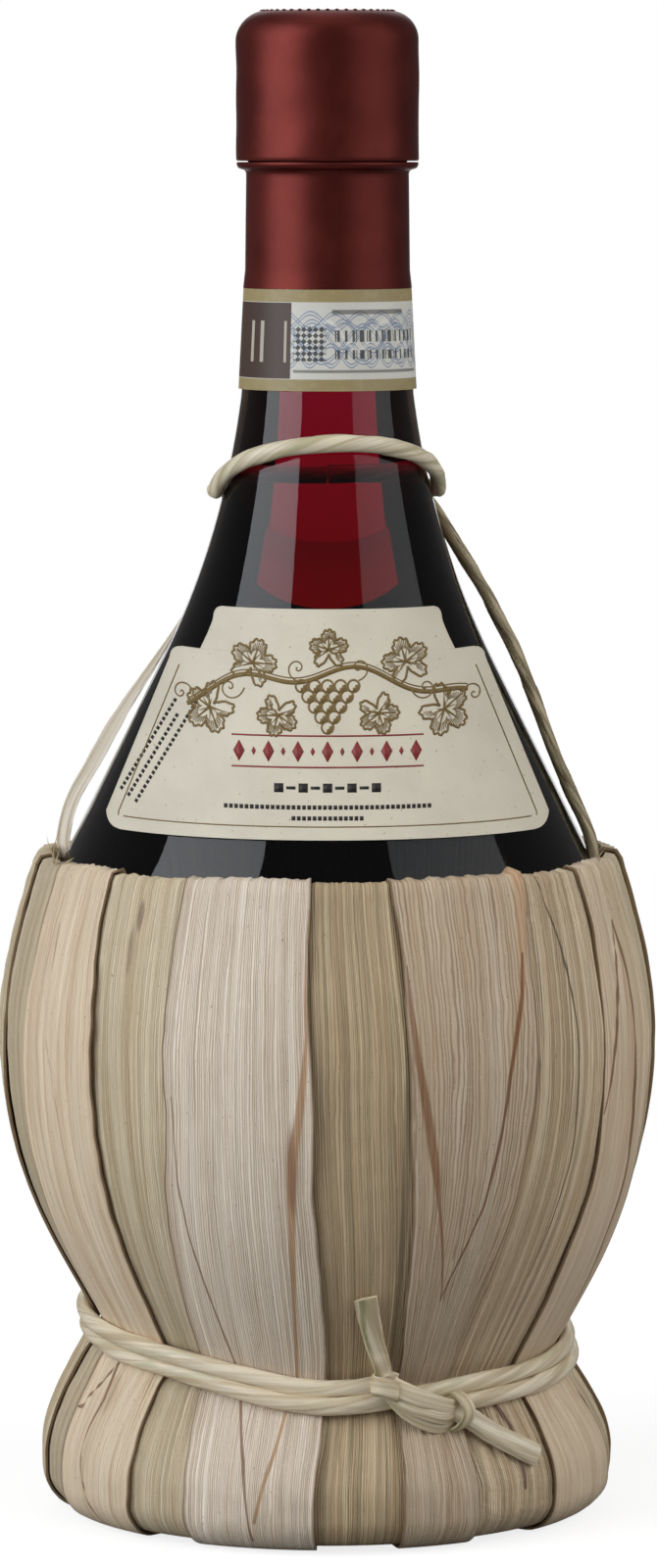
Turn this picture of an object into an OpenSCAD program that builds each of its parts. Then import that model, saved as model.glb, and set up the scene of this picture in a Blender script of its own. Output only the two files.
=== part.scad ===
// Wine flask in a basket of husk strips. Millimetres, +Z up, the front looks along -Y.
// The origin is the middle of the foot, on the table.

/* [Flask] */
// Height of the lip above the table
flask_h = 264.8; // [262:0.2:268]
// Radius of the glass at its widest ring
belly_r = 53; // [51:0.5:54]
// Height of the widest ring
belly_z = 86; // [83:1:89]
// Height of the round glass bottom above the table
bottom_z = 12; // [9:0.5:14]
// Thickness of the glass wall
wall = 3.2; // [2.4:0.1:4]
// Thickness of the glass bottom
bottom_wall = 5.2; // [4:0.1:8]
// Height at which the straight shoulder starts
shoulder_z = 120; // [119:0.5:122]
// Height at which the straight shoulder ends
shoulder_end_z = 149.4; // [146:0.2:152]
// Slope of the shoulder, radius lost for each millimetre of height
shoulder_slope = 0.5; // [0.47:0.01:0.53]
// Length of the neck, from its foot to the lip's top
neck_l = 66.8; // [65:0.2:70]
// Radius of the neck at its foot
neck_r = 15.3; // [14.8:0.1:15.8]
// Radius of the neck where the foil ends
neck_mid_r = 14; // [13.6:0.1:14.4]
// Radius of the neck under the lip
neck_top_r = 13.8; // [13.2:0.1:14.2]
// Thickness of the neck wall at its foot
neck_wall = 3.9; // [3:0.1:4.5]
// Radius of the lip
lip_r = 15.3; // [14.8:0.1:15.8]
// Height of the lip
lip_h = 24.2; // [20:0.2:26]
// Rounding of the lip's top edge
lip_round = 4.5; // [2:0.1:5]
// Radius of the bore in the neck
bore_r = 9.25; // [8.75:0.05:9.75]
// Length of the straight bore
bore_l = 46; // [42:1:50]

/* [Cork and wine] */
// Length of the cork
cork_l = 44.5; // [36:0.5:49]
// Depth of the cork's top under the lip's top
cork_depth = 0.3; // [0.1:0.1:2]
// Radial clearance of the cork in the bore
cork_fit = 0.05; // [0.02:0.01:0.08]
// Depth of the wine's surface under the lip's top
fill_drop = 59.8; // [58:0.2:64]

/* [Capsule] */
// Thickness of the foil cap
cap_t = 0.5; // [0.3:0.05:0.8]
// Thickness of the foil sleeve
skirt_t = 0.4; // [0.3:0.05:0.6]
// Clearance of the foil cap round the lip
cap_gap = 0.3; // [0.2:0.05:0.5]
// Clearance of the foil sleeve round the neck
skirt_gap = 0.15; // [0.1:0.05:0.3]
// Length of the foil sleeve
skirt_l = 23.5; // [18:0.5:26]
// Width of the tear line between cap and sleeve
tear_gap = 0.25; // [0.2:0.05:0.5]

/* [Paper] */
// Thickness of the paper
paper_t = 0.25; // [0.15:0.05:0.4]
// Clearance of the paper on the glass
paper_gap = 0.1; // [0.05:0.05:0.2]
// Height of the neck band
band_h = 17.7; // [12:0.1:20]
// Height of the label
label_h = 38.4; // [34:0.2:40]
// Width of the label at its lower edge, seen from the front
label_w = 77.6; // [70:0.2:79]
// Width of the label at its upper edge
label_top_w = 38; // [32:0.2:40]
// Width of the label across its ears
label_ear_w = 55.6; // [50:0.2:56]
// Height of the label's lower edge above the basket's rim
label_rise = 6.2; // [3:0.2:8]

/* [Basket] */
// Thickness of a husk strip
husk_t = 0.5; // [0.35:0.05:0.7]
// Space between the two layers of strips
layer_gap = 0.3; // [0.25:0.05:0.5]
// Space between the strips folded in at the rim and the glass
rim_gap = 0.5; // [0.4:0.05:0.7]
// Height of the rim
rim_z = 117.2; // [114:0.2:118]
// Radius of the hoop inside the rim's fold
hoop_r = 0.5; // [0.4:0.05:0.8]
// Length of the strips' ends folded in at the rim
fold_l = 7; // [4:0.5:12]
// Space between the glass and the basket at the widest ring
belly_room = 3.7; // [3:0.1:5]
// Height of the basket's widest ring
basket_z = 85; // [80:1:90]
// Outer radius at the waist, under the tie
waist_r = 41.2; // [40:0.2:43]
// Mean height of the waist
waist_z = 31.5; // [30:0.5:34]
// How far the waist dips at the front
dip_front = 3.4; // [0:0.1:4]
// How far the waist dips at the right
dip_right = 2.1; // [0:0.1:3]
// Outer radius of the foot
foot_r = 50.7; // [48:0.1:53]
// Height of the foot's widest ring
foot_z = 9.5; // [8:0.5:12]
// Inner radius of the foot, inside the strips
foot_in_r = 33; // [31:0.5:35]
// Height of the strips' ends inside the foot
tuck_h = 9; // [6:0.5:12]

/* [Cords] */
// Diameter of the cord round the neck
loop_d = 2.9; // [2:0.1:3.5]
// Height of the cord round the neck, at its sides and back
loop_back_z = 181.3; // [179:0.1:184]
// How far the cord round the neck rises at the front
loop_rise = 9; // [5:0.2:10]
// Diameter of the handle's cord
handle_d = 2.3; // [1.8:0.1:2.5]
// Diameter of the cord round the waist
tie_d = 2.3; // [1.8:0.1:2.8]
// Diameter of the cord in the knot
knot_d = 1.7; // [1.5:0.1:1.9]

/* [Hidden] */
$fn = 96;

// Clearance of a soft piece from what it lies on
soft_gap = 0.3;
// Clearance of the wine from the glass
wine_gap = 0.1;

// The outer strips, going round from the front to the right: angle of the middle at the belly,
// how far the middle leans at the waist, and half the width at the rim, belly, waist and foot,
// all in degrees round the axis. The inner strips fill the places between them.
OUTER = [
    [-15.9, 0, 12.4, 13.1, 15.5, 13.3],
    [25.9, -2.5, 13.6, 11.8, 6.6, 8.2],
    [65, -1, 8, 8.7, 12, 12.5],
    [102, 0, 11, 11, 9, 9.5],
    [144.5, -2, 12, 11.5, 9, 10],
    [187.5, 2, 11, 11.5, 9.5, 10],
    [230, -1, 12, 11, 9, 9.5],
    [270, 1, 10, 10.5, 9.5, 10],
    [304.5, 0.5, 9.5, 11.3, 13, 12]
];
// Angle by which an inner strip reaches under the outer one, and the least angle from its middle
lap_az = 4.5;
lap_rest_az = 1.3;

// Stops on the cords that lie free, from the neck down, and on the two tails of the tie
HANDLE_CORD = [
    [0, 23.3, 181.2], [4, 23, 181.1], [8, 21.9, 180.8], [12.6, 19.4, 180.2], [15.2, 17.3, 179.8],
    [17.2, 14.5, 179.3], [18.9, 8.9, 177.6], [21.3, 6.6, 174], [24.3, 5.4, 169], [27.8, 4, 163.3],
    [30.6, 2.9, 157.9], [33.2, 1.8, 152.9], [36.4, 0.5, 145], [39.2, -0.8, 137.4],
    [41.9, -2, 130.6], [45.5, -3.8, 122.6], [46.8, -5, 118.8]
];
HANDLE_STRIP = [
    [-11.4, 16.2, 179], [-13, 16.5, 176.2], [-18.5, 14.5, 168], [-24, 12, 159], [-29.2, 8.2, 151],
    [-35.8, 5.9, 141], [-41.2, 5.9, 131.5], [-45.2, 5.5, 124.5], [-47.2, 4.9, 119]
];
TAIL_UPPER = [
    [10.4, -45.9, 30.2], [9, -45.1, 33.5], [8, -46.2, 37], [7.2, -48, 41], [6.6, -49.9, 45]
];
TAIL_LOWER = [
    [21.7, -42.2, 24.9], [25.4, -39.9, 21.8], [29.4, -38.3, 19], [33.5, -36.6, 16.4], [36.5, -34.6, 14.6]
];
handle_strip_w = 4.6;
handle_strip_t = 0.8;
tail_w = 3.6;
tail_t = 1.2;
knot_az = 21;
knot_drop = 0.8;
knot_size = 1.95;
knot_start = 200;
knot_arc = 320;
tie_pitch = tie_d + 0.6;
// Angle to which the neck's cord turns its high side, angle of its gap, and how far round it goes
loop_turn = 8;
loop_gap_az = 180;
loop_arc = 350;

// Pulls of the curves in the flask's outline: along the shoulder, along the neck, and outwards
shoulder_pull = 7.4;
neck_pull = 25.4;
neck_swell = 3.3;
// Pulls of the curves in the strips' line: at the rim, above and below the belly, above the waist,
// under the waist, and above the foot
rim_swell = 1.7;
rim_pull = 6;
belly_pull_up = 12;
belly_pull_down = 27;
waist_swell = 7.5;
waist_pull = 15;
waist_flare = 0.6;
foot_swell = 3.4;
foot_pull = 8;
foot_rise = 7;
// Room between the hoop and the strips folded over it
hoop_room = 0.35;

function turned(az, r, z) = [r * sin(az), -r * cos(az), z];
function mix(a, b, t) = a + (b - a) * t;
function smooth(t) = let (u = min(1, max(0, t))) u * u * (3 - 2 * u);
function unit(v) = v / norm(v);
function backwards(list) = [for (i = [len(list) - 1:-1:0]) list[i]];

// A cubic curve from a to d that leaves towards b and arrives from c, at n even steps
function curve(a, b, c, d, n) = [
    for (i = [0:n])
        let (t = i / n, s = 1 - t)
        s * s * s * a + 3 * s * s * t * b + 3 * s * t * t * c + t * t * t * d
];

// An arc about a centre in the half plane, from one angle to another in n steps
function arc(centre, r, from, to, n) = [
    for (i = [0:n]) let (a = mix(from, to, i / n)) centre + r * [cos(a), sin(a)]
];

// Half profile of the flask without its neck, at a depth under the outer surface: an ellipse up
// to the belly, an arc up to the shoulder, the straight shoulder, and a curve into the neck
neck_z = flask_h - neck_l;
wine_z = flask_h - fill_drop;
shoulder_angle = atan(shoulder_slope);
shoulder_r = belly_r - (shoulder_z - belly_z) * tan(shoulder_angle / 2);
shoulder_end_r = shoulder_r - shoulder_slope * (shoulder_end_z - shoulder_z);
shoulder_bend = (shoulder_z - belly_z) / sin(shoulder_angle);
function flask_body(depth, floor_z, neck_depth) = concat(
    [
        for (i = [0:11])
            let (a = i * 7.5)
            [(belly_r - depth) * sin(a), belly_z - (belly_z - floor_z) * cos(a)]
    ],
    arc([belly_r - shoulder_bend, belly_z], shoulder_bend - depth, 0, shoulder_angle, 5),
    curve(
        [shoulder_end_r - depth / cos(shoulder_angle), shoulder_end_z],
        [
            shoulder_end_r - depth / cos(shoulder_angle) - shoulder_pull * shoulder_slope,
            shoulder_end_z + shoulder_pull
        ],
        [neck_r - neck_depth + neck_swell, neck_z - neck_pull],
        [neck_r - neck_depth, neck_z],
        10
    )
);

foil_end_z = flask_h - lip_h - skirt_l;
lip_z = flask_h - lip_h;
outer_line = concat(
    flask_body(0, bottom_z, 0),
    [[neck_mid_r, foil_end_z], [neck_top_r, lip_z - 1.7], [lip_r, lip_z]],
    arc([lip_r - lip_round, flask_h - lip_round], lip_round, 0, 90, 6),
    arc([bore_r + 0.6, flask_h - 0.6], 0.6, 90, 180, 3)
);
inner_line = concat(
    flask_body(wall, bottom_z + bottom_wall, neck_wall),
    [[bore_r, flask_h - bore_l]]
);
function flask_r(z) = lookup(z, [for (p = flask_body(0, bottom_z, 0)) [p[1], p[0]]]);

module glass_flask() {
    color([0.06, 0.05, 0.045])
        rotate_extrude()
            polygon(concat(outer_line, backwards(inner_line)));
}

// The wine fills the flask up to its level in the neck
module wine() {
    wine_line = flask_body(wall + wine_gap, bottom_z + bottom_wall + wine_gap, neck_wall + wine_gap);
    level_r = lookup(wine_z, [
        [neck_z, neck_r - neck_wall],
        [flask_h - bore_l, bore_r]
    ]) - wine_gap;
    color([0.3, 0.02, 0.04])
        rotate_extrude()
            polygon(concat(wine_line, [[level_r, wine_z], [0, wine_z]]));
}

module cork() {
    r = bore_r - cork_fit;
    top = flask_h - cork_depth;
    bevel = 0.6;
    color([0.78, 0.62, 0.42])
        rotate_extrude()
            polygon([
                [0, top - cork_l], [r - bevel, top - cork_l], [r, top - cork_l + bevel],
                [r, top - bevel], [r - bevel, top], [0, top]
            ]);
}

// The foil cap has the lip's rounding, one clearance larger
cap_r = lip_r + cap_gap + cap_t;
cap_top_z = flask_h + cap_gap + cap_t;
cap_end_z = lip_z - 1.3;
module capsule_top() {
    corner = [lip_r - lip_round, flask_h - lip_round];
    color([0.36, 0.15, 0.14])
        rotate_extrude()
            polygon(concat(
                [[cap_r, cap_end_z]],
                arc(corner, lip_round + cap_gap + cap_t, 0, 90, 8),
                [[0, cap_top_z], [0, cap_top_z - cap_t]],
                arc(corner, lip_round + cap_gap, 90, 0, 8),
                [[cap_r - cap_t, cap_end_z]]
            ));
}

// The sleeve starts under the lip, draws in to the neck and ends in a slight flare
module capsule_skirt() {
    top = cap_end_z - tear_gap;
    in_z = lip_z - 3.6;
    flare = 0.35;
    r_top = neck_top_r + skirt_gap;
    r_end = neck_mid_r + skirt_gap;
    color([0.36, 0.15, 0.14])
        rotate_extrude()
            polygon([
                [cap_r - cap_t, top], [cap_r, top], [cap_r - 0.1, top - 0.4],
                [r_top + skirt_t, in_z], [r_end + skirt_t, foil_end_z + 3],
                [r_end + skirt_t + flare, foil_end_z + 0.2], [r_end + flare, foil_end_z + 0.2],
                [r_end, foil_end_z + 3], [r_top, in_z]
            ]);
}

module neck_band() {
    z0 = foil_end_z - 0.15 - band_h;
    r0 = max(flask_r(z0), neck_r) + 2 * paper_gap;
    r1 = neck_mid_r + 0.6;
    color([0.78, 0.74, 0.62])
        rotate_extrude()
            polygon([
                [r0, z0], [r0 + paper_t, z0],
                [r1 + paper_t, z0 + band_h], [r1, z0 + band_h]
            ]);
}

// The label is cut from a shell on the shoulder by its outline seen from the front
label_z = rim_z + label_rise;
module front_label() {
    half = label_w / 2;
    top = label_h;
    half_outline = [
        [half - 2, 0], [half - 0.5, 0.5], [half, 2.6],
        [label_ear_w / 2, top - 9.4], [label_ear_w / 2 - 2.4, top - 7.4],
        [label_top_w / 2 + 3.8, top - 7.8], [label_top_w / 2 + 2.1, top - 3.4],
        [label_top_w / 2 + 1.6, top - 1.6], [label_top_w / 2, top]
    ];
    outline = concat(half_outline, [for (p = backwards(half_outline)) [-p[0], p[1]]]);
    lean = cos(shoulder_angle);
    low = label_z - 1;
    high = label_z + label_h + 1;
    zs = concat(
        [low],
        [for (p = flask_body(0, bottom_z, 0)) if (p[1] > low && p[1] < high) p[1]],
        [high]
    );
    shell = concat(
        [for (z = zs) [flask_r(z) + paper_gap / lean, z]],
        [for (z = backwards(zs)) [flask_r(z) + (paper_gap + paper_t) / lean, z]]
    );
    color([0.8, 0.76, 0.66])
        intersection() {
            rotate_extrude()
                polygon(shell);
            translate([0, 0, label_z])
                rotate([90, 0, 0])
                    linear_extrude(height = belly_r)
                        polygon(outline);
        }
}

// The line on which the strips lie, in the half plane: down the inner leg at the rim, over the
// hoop, down the belly, through the waist, round the foot and up inside it
stack = 2 * husk_t + layer_gap;
fold_in = hoop_r + hoop_room;
fold_z = rim_z - stack - fold_in;
fold_centre_r = flask_r(fold_z) + rim_gap + stack + fold_in;
line_basket_r = belly_r + belly_room;
line_waist_r = waist_r - stack;
line_foot_r = foot_r - stack;
line_tuck_r = foot_in_r + stack;
foot_round = 5;
tuck_round = 2.5;
waist_half = 1.8;
husk_line = concat(
    [
        [flask_r(fold_z - fold_l) + rim_gap + stack, fold_z - fold_l],
        [flask_r(fold_z - fold_l / 2) + rim_gap + stack, fold_z - fold_l / 2]
    ],
    arc([fold_centre_r, fold_z], fold_in, 180, 0, 5),
    [
        for (p = curve(
            [fold_centre_r + fold_in, fold_z],
            [fold_centre_r + fold_in + rim_swell, fold_z - rim_pull],
            [line_basket_r, basket_z + belly_pull_up], [line_basket_r, basket_z], 5
        )) if (p[1] < fold_z) p
    ],
    [
        for (p = curve(
            [line_basket_r, basket_z], [line_basket_r, basket_z - belly_pull_down],
            [line_waist_r + waist_swell, waist_z + waist_pull],
            [line_waist_r + waist_flare, waist_z + waist_half], 8
        )) if (p[1] < basket_z) p
    ],
    [[line_waist_r, waist_z], [line_waist_r + waist_flare, waist_z - waist_half]],
    [
        for (p = curve(
            [line_waist_r + waist_flare, waist_z - waist_half],
            [line_waist_r + foot_swell, waist_z - foot_pull],
            [line_foot_r, foot_z + foot_rise], [line_foot_r, foot_z], 4
        )) if (p[1] < waist_z - waist_half) p
    ],
    arc([line_foot_r - foot_round, stack + foot_round], foot_round, 0, -90, 4),
    arc([line_tuck_r + tuck_round, stack + tuck_round], tuck_round, 270, 180, 3),
    [[line_tuck_r, tuck_h]]
);
husk_steps = len(husk_line);

// The normal of that line on the side away from the hoop and the ring
function husk_normal(i) =
    let (d = husk_line[min(husk_steps - 1, i + 1)] - husk_line[max(0, i - 1)])
    unit([-d[1], d[0]]);

// The waist isn't level: every height is shifted, most at the waist, not at all at table and rim
function dipped(z, az) =
    let (share = z < waist_z ? smooth(z / waist_z) : 1 - smooth((z - waist_z) / (rim_z - waist_z)))
    z - share * (dip_front * cos(az) + dip_right * sin(az));

function husk_place(i, depth, az) =
    let (p = husk_line[i] + depth * husk_normal(i))
    turned(az, p[0], dipped(p[1], az));

// Where along a strip a station lies: 0 rim, 1 belly, 2 waist, 3 foot
function station(i) =
    let (z = husk_line[i][1])
    i < 7 ? 0
    : z > basket_z ? mix(1, 0, (z - basket_z) / (fold_z - basket_z))
    : z > waist_z ? mix(2, 1, (z - waist_z) / (basket_z - waist_z))
    : min(3, mix(2, 3, (waist_z - z) / (waist_z - foot_z)));

// Middle angle and half width of an outer strip at a station
function lean_at(k, s) = OUTER[k][0] + OUTER[k][1] * (s < 1 ? 0 : smooth(s - 1));
function half_at(k, s) =
    s < 1 ? mix(OUTER[k][2], OUTER[k][3], smooth(s))
    : s < 2 ? mix(OUTER[k][3], OUTER[k][4], smooth(s - 1))
    : mix(OUTER[k][4], OUTER[k][5], smooth(s - 2));

// Left and right angles of an outer strip, and of the inner strip between it and the next
function outer_span(k, s) = [lean_at(k, s) - half_at(k, s), lean_at(k, s) + half_at(k, s)];
function inner_span(k, s) =
    let (next = (k + 1) % len(OUTER), whole = next < k + 1 ? 360 : 0)
    [
        lean_at(k, s) + max(lap_rest_az, half_at(k, s) - lap_az),
        lean_at(next, s) + whole - max(lap_rest_az, half_at(next, s) - lap_az)
    ];

// Triangles of a tube of rings of equal size, closed at both ends by the pairs of points that
// face each other across the ring
function tube_faces(rings, size) = concat(
    [
        for (i = [0:rings - 2], j = [0:size - 1], h = [0, 1])
            let (a = i * size + j, b = i * size + (j + 1) % size)
            h == 0 ? [a, b, b + size] : [a, b + size, a + size]
    ],
    [
        for (j = [0:size / 2 - 2], h = [0, 1], end = [0, 1])
            let (
                o = end * (rings - 1) * size,
                q = [o + j, o + j + 1, o + size - 2 - j, o + size - 1 - j],
                f = h == 0 ? [q[0], q[2], q[1]] : [q[0], q[3], q[2]]
            )
            end == 0 ? f : backwards(f)
    ]
);

// One strip as a closed shell: cuts across its width, carried along the line
module strip(spans, depth, cuts) {
    points = [
        for (i = [0:husk_steps - 1], j = [0:2 * cuts + 1])
            let (
                top = j <= cuts,
                t = (top ? j : 2 * cuts + 1 - j) / cuts,
                az = mix(spans[i][0], spans[i][1], t)
            )
            husk_place(i, depth + (top ? husk_t : 0), az)
    ];
    polyhedron(points, tube_faces(husk_steps, 2 * cuts + 2));
}

husk_colours = [[0.86, 0.8, 0.73], [0.69, 0.65, 0.5], [0.85, 0.77, 0.64], [0.6, 0.56, 0.4]];
module husk_strip(number) {
    k = floor((number - 1) / 2);
    color(husk_colours[(number * 3) % 4])
        if (number % 2 == 1)
            strip([for (i = [0:husk_steps - 1]) outer_span(k, station(i))], husk_t + layer_gap, 3);
        else
            strip([for (i = [0:husk_steps - 1]) inner_span(k, station(i))], 0, 3);
}

// The ring in the foot fills it up to the strips, and carries the flask's round bottom
module base_ring() {
    gap = soft_gap;
    top = waist_z - 5;
    inner = line_tuck_r + gap + 0.2;
    neck = line_waist_r - 0.5;
    body = line_foot_r - 1.3;
    low = stack + 0.6;
    color([0.72, 0.62, 0.42])
        rotate_extrude()
            polygon([
                [inner, low + 3], [inner + 2, low], [body - 4, low], [body - 0.8, low + 2.4],
                [body, low + 6], [body - 1, low + 11], [mix(neck, body, 0.45), top - 7],
                [neck, top - 3], [neck, top], [flask_r(top) + gap, top],
                [max(inner, flask_r(top - 2) + gap), top - 2], [inner, top - 4]
            ]);
}

module rim_hoop() {
    color([0.72, 0.62, 0.42])
        rotate_extrude()
            translate([fold_centre_r, fold_z])
                circle(r = hoop_r, $fn = 24);
}

// A round or flat tube along a line of points. The two half widths lie across the line, the
// second one towards the guide direction
module tube(path, guide, half_w, half_t, sides) {
    last = len(path) - 1;
    points = [
        for (i = [0:last], j = [0:sides - 1])
            let (
                t = unit(path[min(last, i + 1)] - path[max(0, i - 1)]),
                u = unit(cross(t, guide(path[i]))),
                v = cross(u, t),
                a = -360 * (j + 0.5) / sides
            )
            path[i] + half_w * sin(a) * u + half_t * cos(a) * v
    ];
    polyhedron(points, tube_faces(last + 1, sides));
}
function outwards(p) = [p[0], p[1], 0];
function upwards(p) = [0, 0, 1];

// Smallest distance between turns of a tube: from each point to those at least skip points on
function least_gap(path, d, skip) =
    min([for (i = [0:len(path) - 1 - skip], j = [i + skip:len(path) - 1]) norm(path[i] - path[j])]) - d;

// The tie goes twice round the waist and climbs one pitch in each turn
over_line = [for (i = [0:husk_steps - 1]) husk_line[i] + stack * husk_normal(i)];
over_rows = [
    for (i = [husk_steps - 1:-1:0])
        if (i > 12 && over_line[i][1] > foot_z && over_line[i][1] < basket_z)
            [over_line[i][1], over_line[i][0]]
];
tie_rings = 24;
tie_turns = 2;
tie_path = [
    for (i = [0:tie_rings * tie_turns])
        let (
            turn = i / tie_rings,
            az = knot_az + 360 * turn,
            z = waist_z + tie_pitch * (turn - tie_turns / 2),
            r = lookup(z, over_rows) + (tie_d / 2 + soft_gap) / cos(25)
        )
        turned(az, r / cos(180 / tie_rings), dipped(z, az))
];
echo(tie_gap_to_itself = least_gap(tie_path, tie_d, 12));
module waist_tie() {
    color([0.8, 0.74, 0.62])
        tube(tie_path, function (p) upwards(p), tie_d / 2, tie_d / 2, 6);
}

// The knot is an overhand knot drawn tight, in front of the tie. Where it crosses itself, the
// middle lines lie knot_cross depths apart
knot_cross = 1.33;
knot_depth = (knot_d + 0.62) / knot_cross;
knot_r = lookup(waist_z + tie_pitch, over_rows) + 2 * soft_gap + tie_d * 1.1 + knot_depth + knot_d / 2;
knot_rings = 72;
knot_path = [
    for (i = [0:knot_rings - 1])
        let (
            t = knot_start + i * knot_arc / (knot_rings - 1),
            side = knot_size * (sin(t) + 2 * sin(2 * t)),
            up = knot_size * (cos(t) - 2 * cos(2 * t)) * 0.85,
            out = -knot_depth * sin(3 * t)
        )
        turned(knot_az, knot_r + out, dipped(waist_z, knot_az) - knot_drop + up)
            + side * [cos(knot_az), sin(knot_az), 0]
];
echo(knot_gap_to_itself = least_gap(knot_path, knot_d, 9));
module waist_knot() {
    color([0.8, 0.74, 0.62])
        tube(knot_path, function (p) turned(knot_az, 1, 0), knot_d / 2, knot_d / 2, 6);
}

module tie_tail_upper() {
    color([0.84, 0.79, 0.68])
        tube(TAIL_UPPER, function (p) outwards(p), tail_w / 2, tail_t / 2, 8);
}

module tie_tail_lower() {
    color([0.84, 0.79, 0.68])
        tube(TAIL_LOWER, function (p) outwards(p), tail_w / 2, tail_t / 2, 8);
}

// The cord round the neck lies on the glass, level at its sides and back and high at the front
loop_path = [
    for (i = [0:24])
        let (
            az = loop_gap_az + (360 - loop_arc) / 2 + loop_arc * i / 24,
            z = loop_back_z + loop_rise * pow(max(0, cos(az - loop_turn)), 0.7),
            r = flask_r(z - loop_d / 4) + (loop_d / 2 + soft_gap) / cos(15)
        )
        turned(az, r / cos(loop_arc / 48), z)
];
echo(loop_gap_to_itself = least_gap(loop_path, loop_d, 12));
module neck_loop() {
    color([0.76, 0.72, 0.56])
        tube(loop_path, function (p) upwards(p), loop_d / 2, loop_d / 2, 6);
}

module handle_cord() {
    color([0.8, 0.74, 0.6])
        tube(HANDLE_CORD, function (p) [0, -1, 0], handle_d / 2, handle_d / 2, 8);
}

module handle_strip() {
    color([0.85, 0.8, 0.68])
        tube(HANDLE_STRIP, function (p) outwards(p), handle_strip_w / 2, handle_strip_t / 2, 8);
}

glass_flask();
wine();
cork();
capsule_top();
capsule_skirt();
neck_band();
front_label();
base_ring();
rim_hoop();
waist_tie();
waist_knot();
tie_tail_upper();
tie_tail_lower();
neck_loop();
handle_cord();
handle_strip();
husk_strip(1);  // husk_strip_01
husk_strip(2);  // husk_strip_02
husk_strip(3);  // husk_strip_03
husk_strip(4);  // husk_strip_04
husk_strip(5);  // husk_strip_05
husk_strip(6);  // husk_strip_06
husk_strip(7);  // husk_strip_07
husk_strip(8);  // husk_strip_08
husk_strip(9);  // husk_strip_09
husk_strip(10);  // husk_strip_10
husk_strip(11);  // husk_strip_11
husk_strip(12);  // husk_strip_12
husk_strip(13);  // husk_strip_13
husk_strip(14);  // husk_strip_14
husk_strip(15);  // husk_strip_15
husk_strip(16);  // husk_strip_16
husk_strip(17);  // husk_strip_17
husk_strip(18);  // husk_strip_18
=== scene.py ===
"""A round-bellied wine flask in a basket of husk strips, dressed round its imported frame.

Lengths are in millimetres and a mesh is scaled to metres when it is made. An angle round the axis
is in degrees from the front, growing towards the side of the corded handle.
"""
import math

import bpy
import numpy as np
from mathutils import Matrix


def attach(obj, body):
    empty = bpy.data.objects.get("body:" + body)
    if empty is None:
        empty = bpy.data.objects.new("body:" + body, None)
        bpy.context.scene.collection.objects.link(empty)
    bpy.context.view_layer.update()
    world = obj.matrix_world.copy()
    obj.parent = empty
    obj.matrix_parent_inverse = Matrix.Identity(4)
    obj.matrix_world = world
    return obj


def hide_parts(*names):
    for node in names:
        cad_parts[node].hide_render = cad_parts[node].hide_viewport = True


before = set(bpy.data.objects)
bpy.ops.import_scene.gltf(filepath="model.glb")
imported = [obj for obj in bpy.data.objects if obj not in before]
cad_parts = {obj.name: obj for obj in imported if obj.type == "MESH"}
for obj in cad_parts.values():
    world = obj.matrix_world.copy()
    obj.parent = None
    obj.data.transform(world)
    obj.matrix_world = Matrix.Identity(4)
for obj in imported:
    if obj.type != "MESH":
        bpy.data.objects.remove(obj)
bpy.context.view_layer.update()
MM = 0.001

# The flask
FLASK_H = 264.8
BELLY_R = 53
BELLY_Z = 86
BOTTOM_Z = 12
WALL = 3.2
BOTTOM_WALL = 5.2
SHOULDER_Z = 120
SHOULDER_END_Z = 149.4
SHOULDER_SLOPE = 0.5
NECK_Z = 198
NECK_R = 15.3
NECK_MID_R = 14
NECK_TOP_R = 13.8
NECK_WALL = 3.9
LIP_R = 15.3
LIP_H = 24.2
LIP_ROUND = 4.5
BORE_R = 9.25
BORE_L = 46
WINE_Z = 205
WINE_LAP = 0.05
LIP_Z = FLASK_H - LIP_H

# The capsule, the band and the label
CAP_T = 0.5
SKIRT_T = 0.4
CAP_GAP = 0.3
SKIRT_GAP = 0.15
TEAR_GAP = 0.25
FOIL_END_Z = LIP_Z - 23.5
PAPER_T = 0.25
PAPER_GAP = 0.1
BAND_H = 17.7
LABEL_H = 38.4
LABEL_W = 77.6
LABEL_TOP_W = 38
LABEL_EAR_W = 55.6
RIM_Z = 117.2
LABEL_Z = RIM_Z + 6.2

# The basket
HUSK_T = 0.5
LAYER_GAP = 0.3
STACK = 2 * HUSK_T + LAYER_GAP
RIM_GAP = 0.5
HOOP_R = 0.5
FOLD_L = 7
BASKET_R = 58
BASKET_Z = 85
WAIST_R = 41.2
WAIST_Z = 31.5
WAIST_HALF = 1.8
DIP_FRONT = 3.4
DIP_RIGHT = 2.1
FOOT_R = 50.7
FOOT_Z = 9.5
FOOT_IN_R = 33
TUCK_H = 9

# The outer strips, going round from the front to the right: angle of the middle at the belly, how
# far the middle leans at the waist, and half the width at the rim, belly, waist and foot
OUTER = [
    [-15.9, 0, 12.4, 13.1, 15.5, 13.3],
    [25.9, -2.5, 13.6, 11.8, 6.6, 8.2],
    [65, -1, 8, 8.7, 12, 12.5],
    [102, 0, 11, 11, 9, 9.5],
    [144.5, -2, 12, 11.5, 9, 10],
    [187.5, 2, 11, 11.5, 9.5, 10],
    [230, -1, 12, 11, 9, 9.5],
    [270, 1, 10, 10.5, 9.5, 10],
    [304.5, 0.5, 9.5, 11.3, 13, 12],
]
UNDER_LAP = 4.5
UNDER_REST = 1.3

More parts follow.
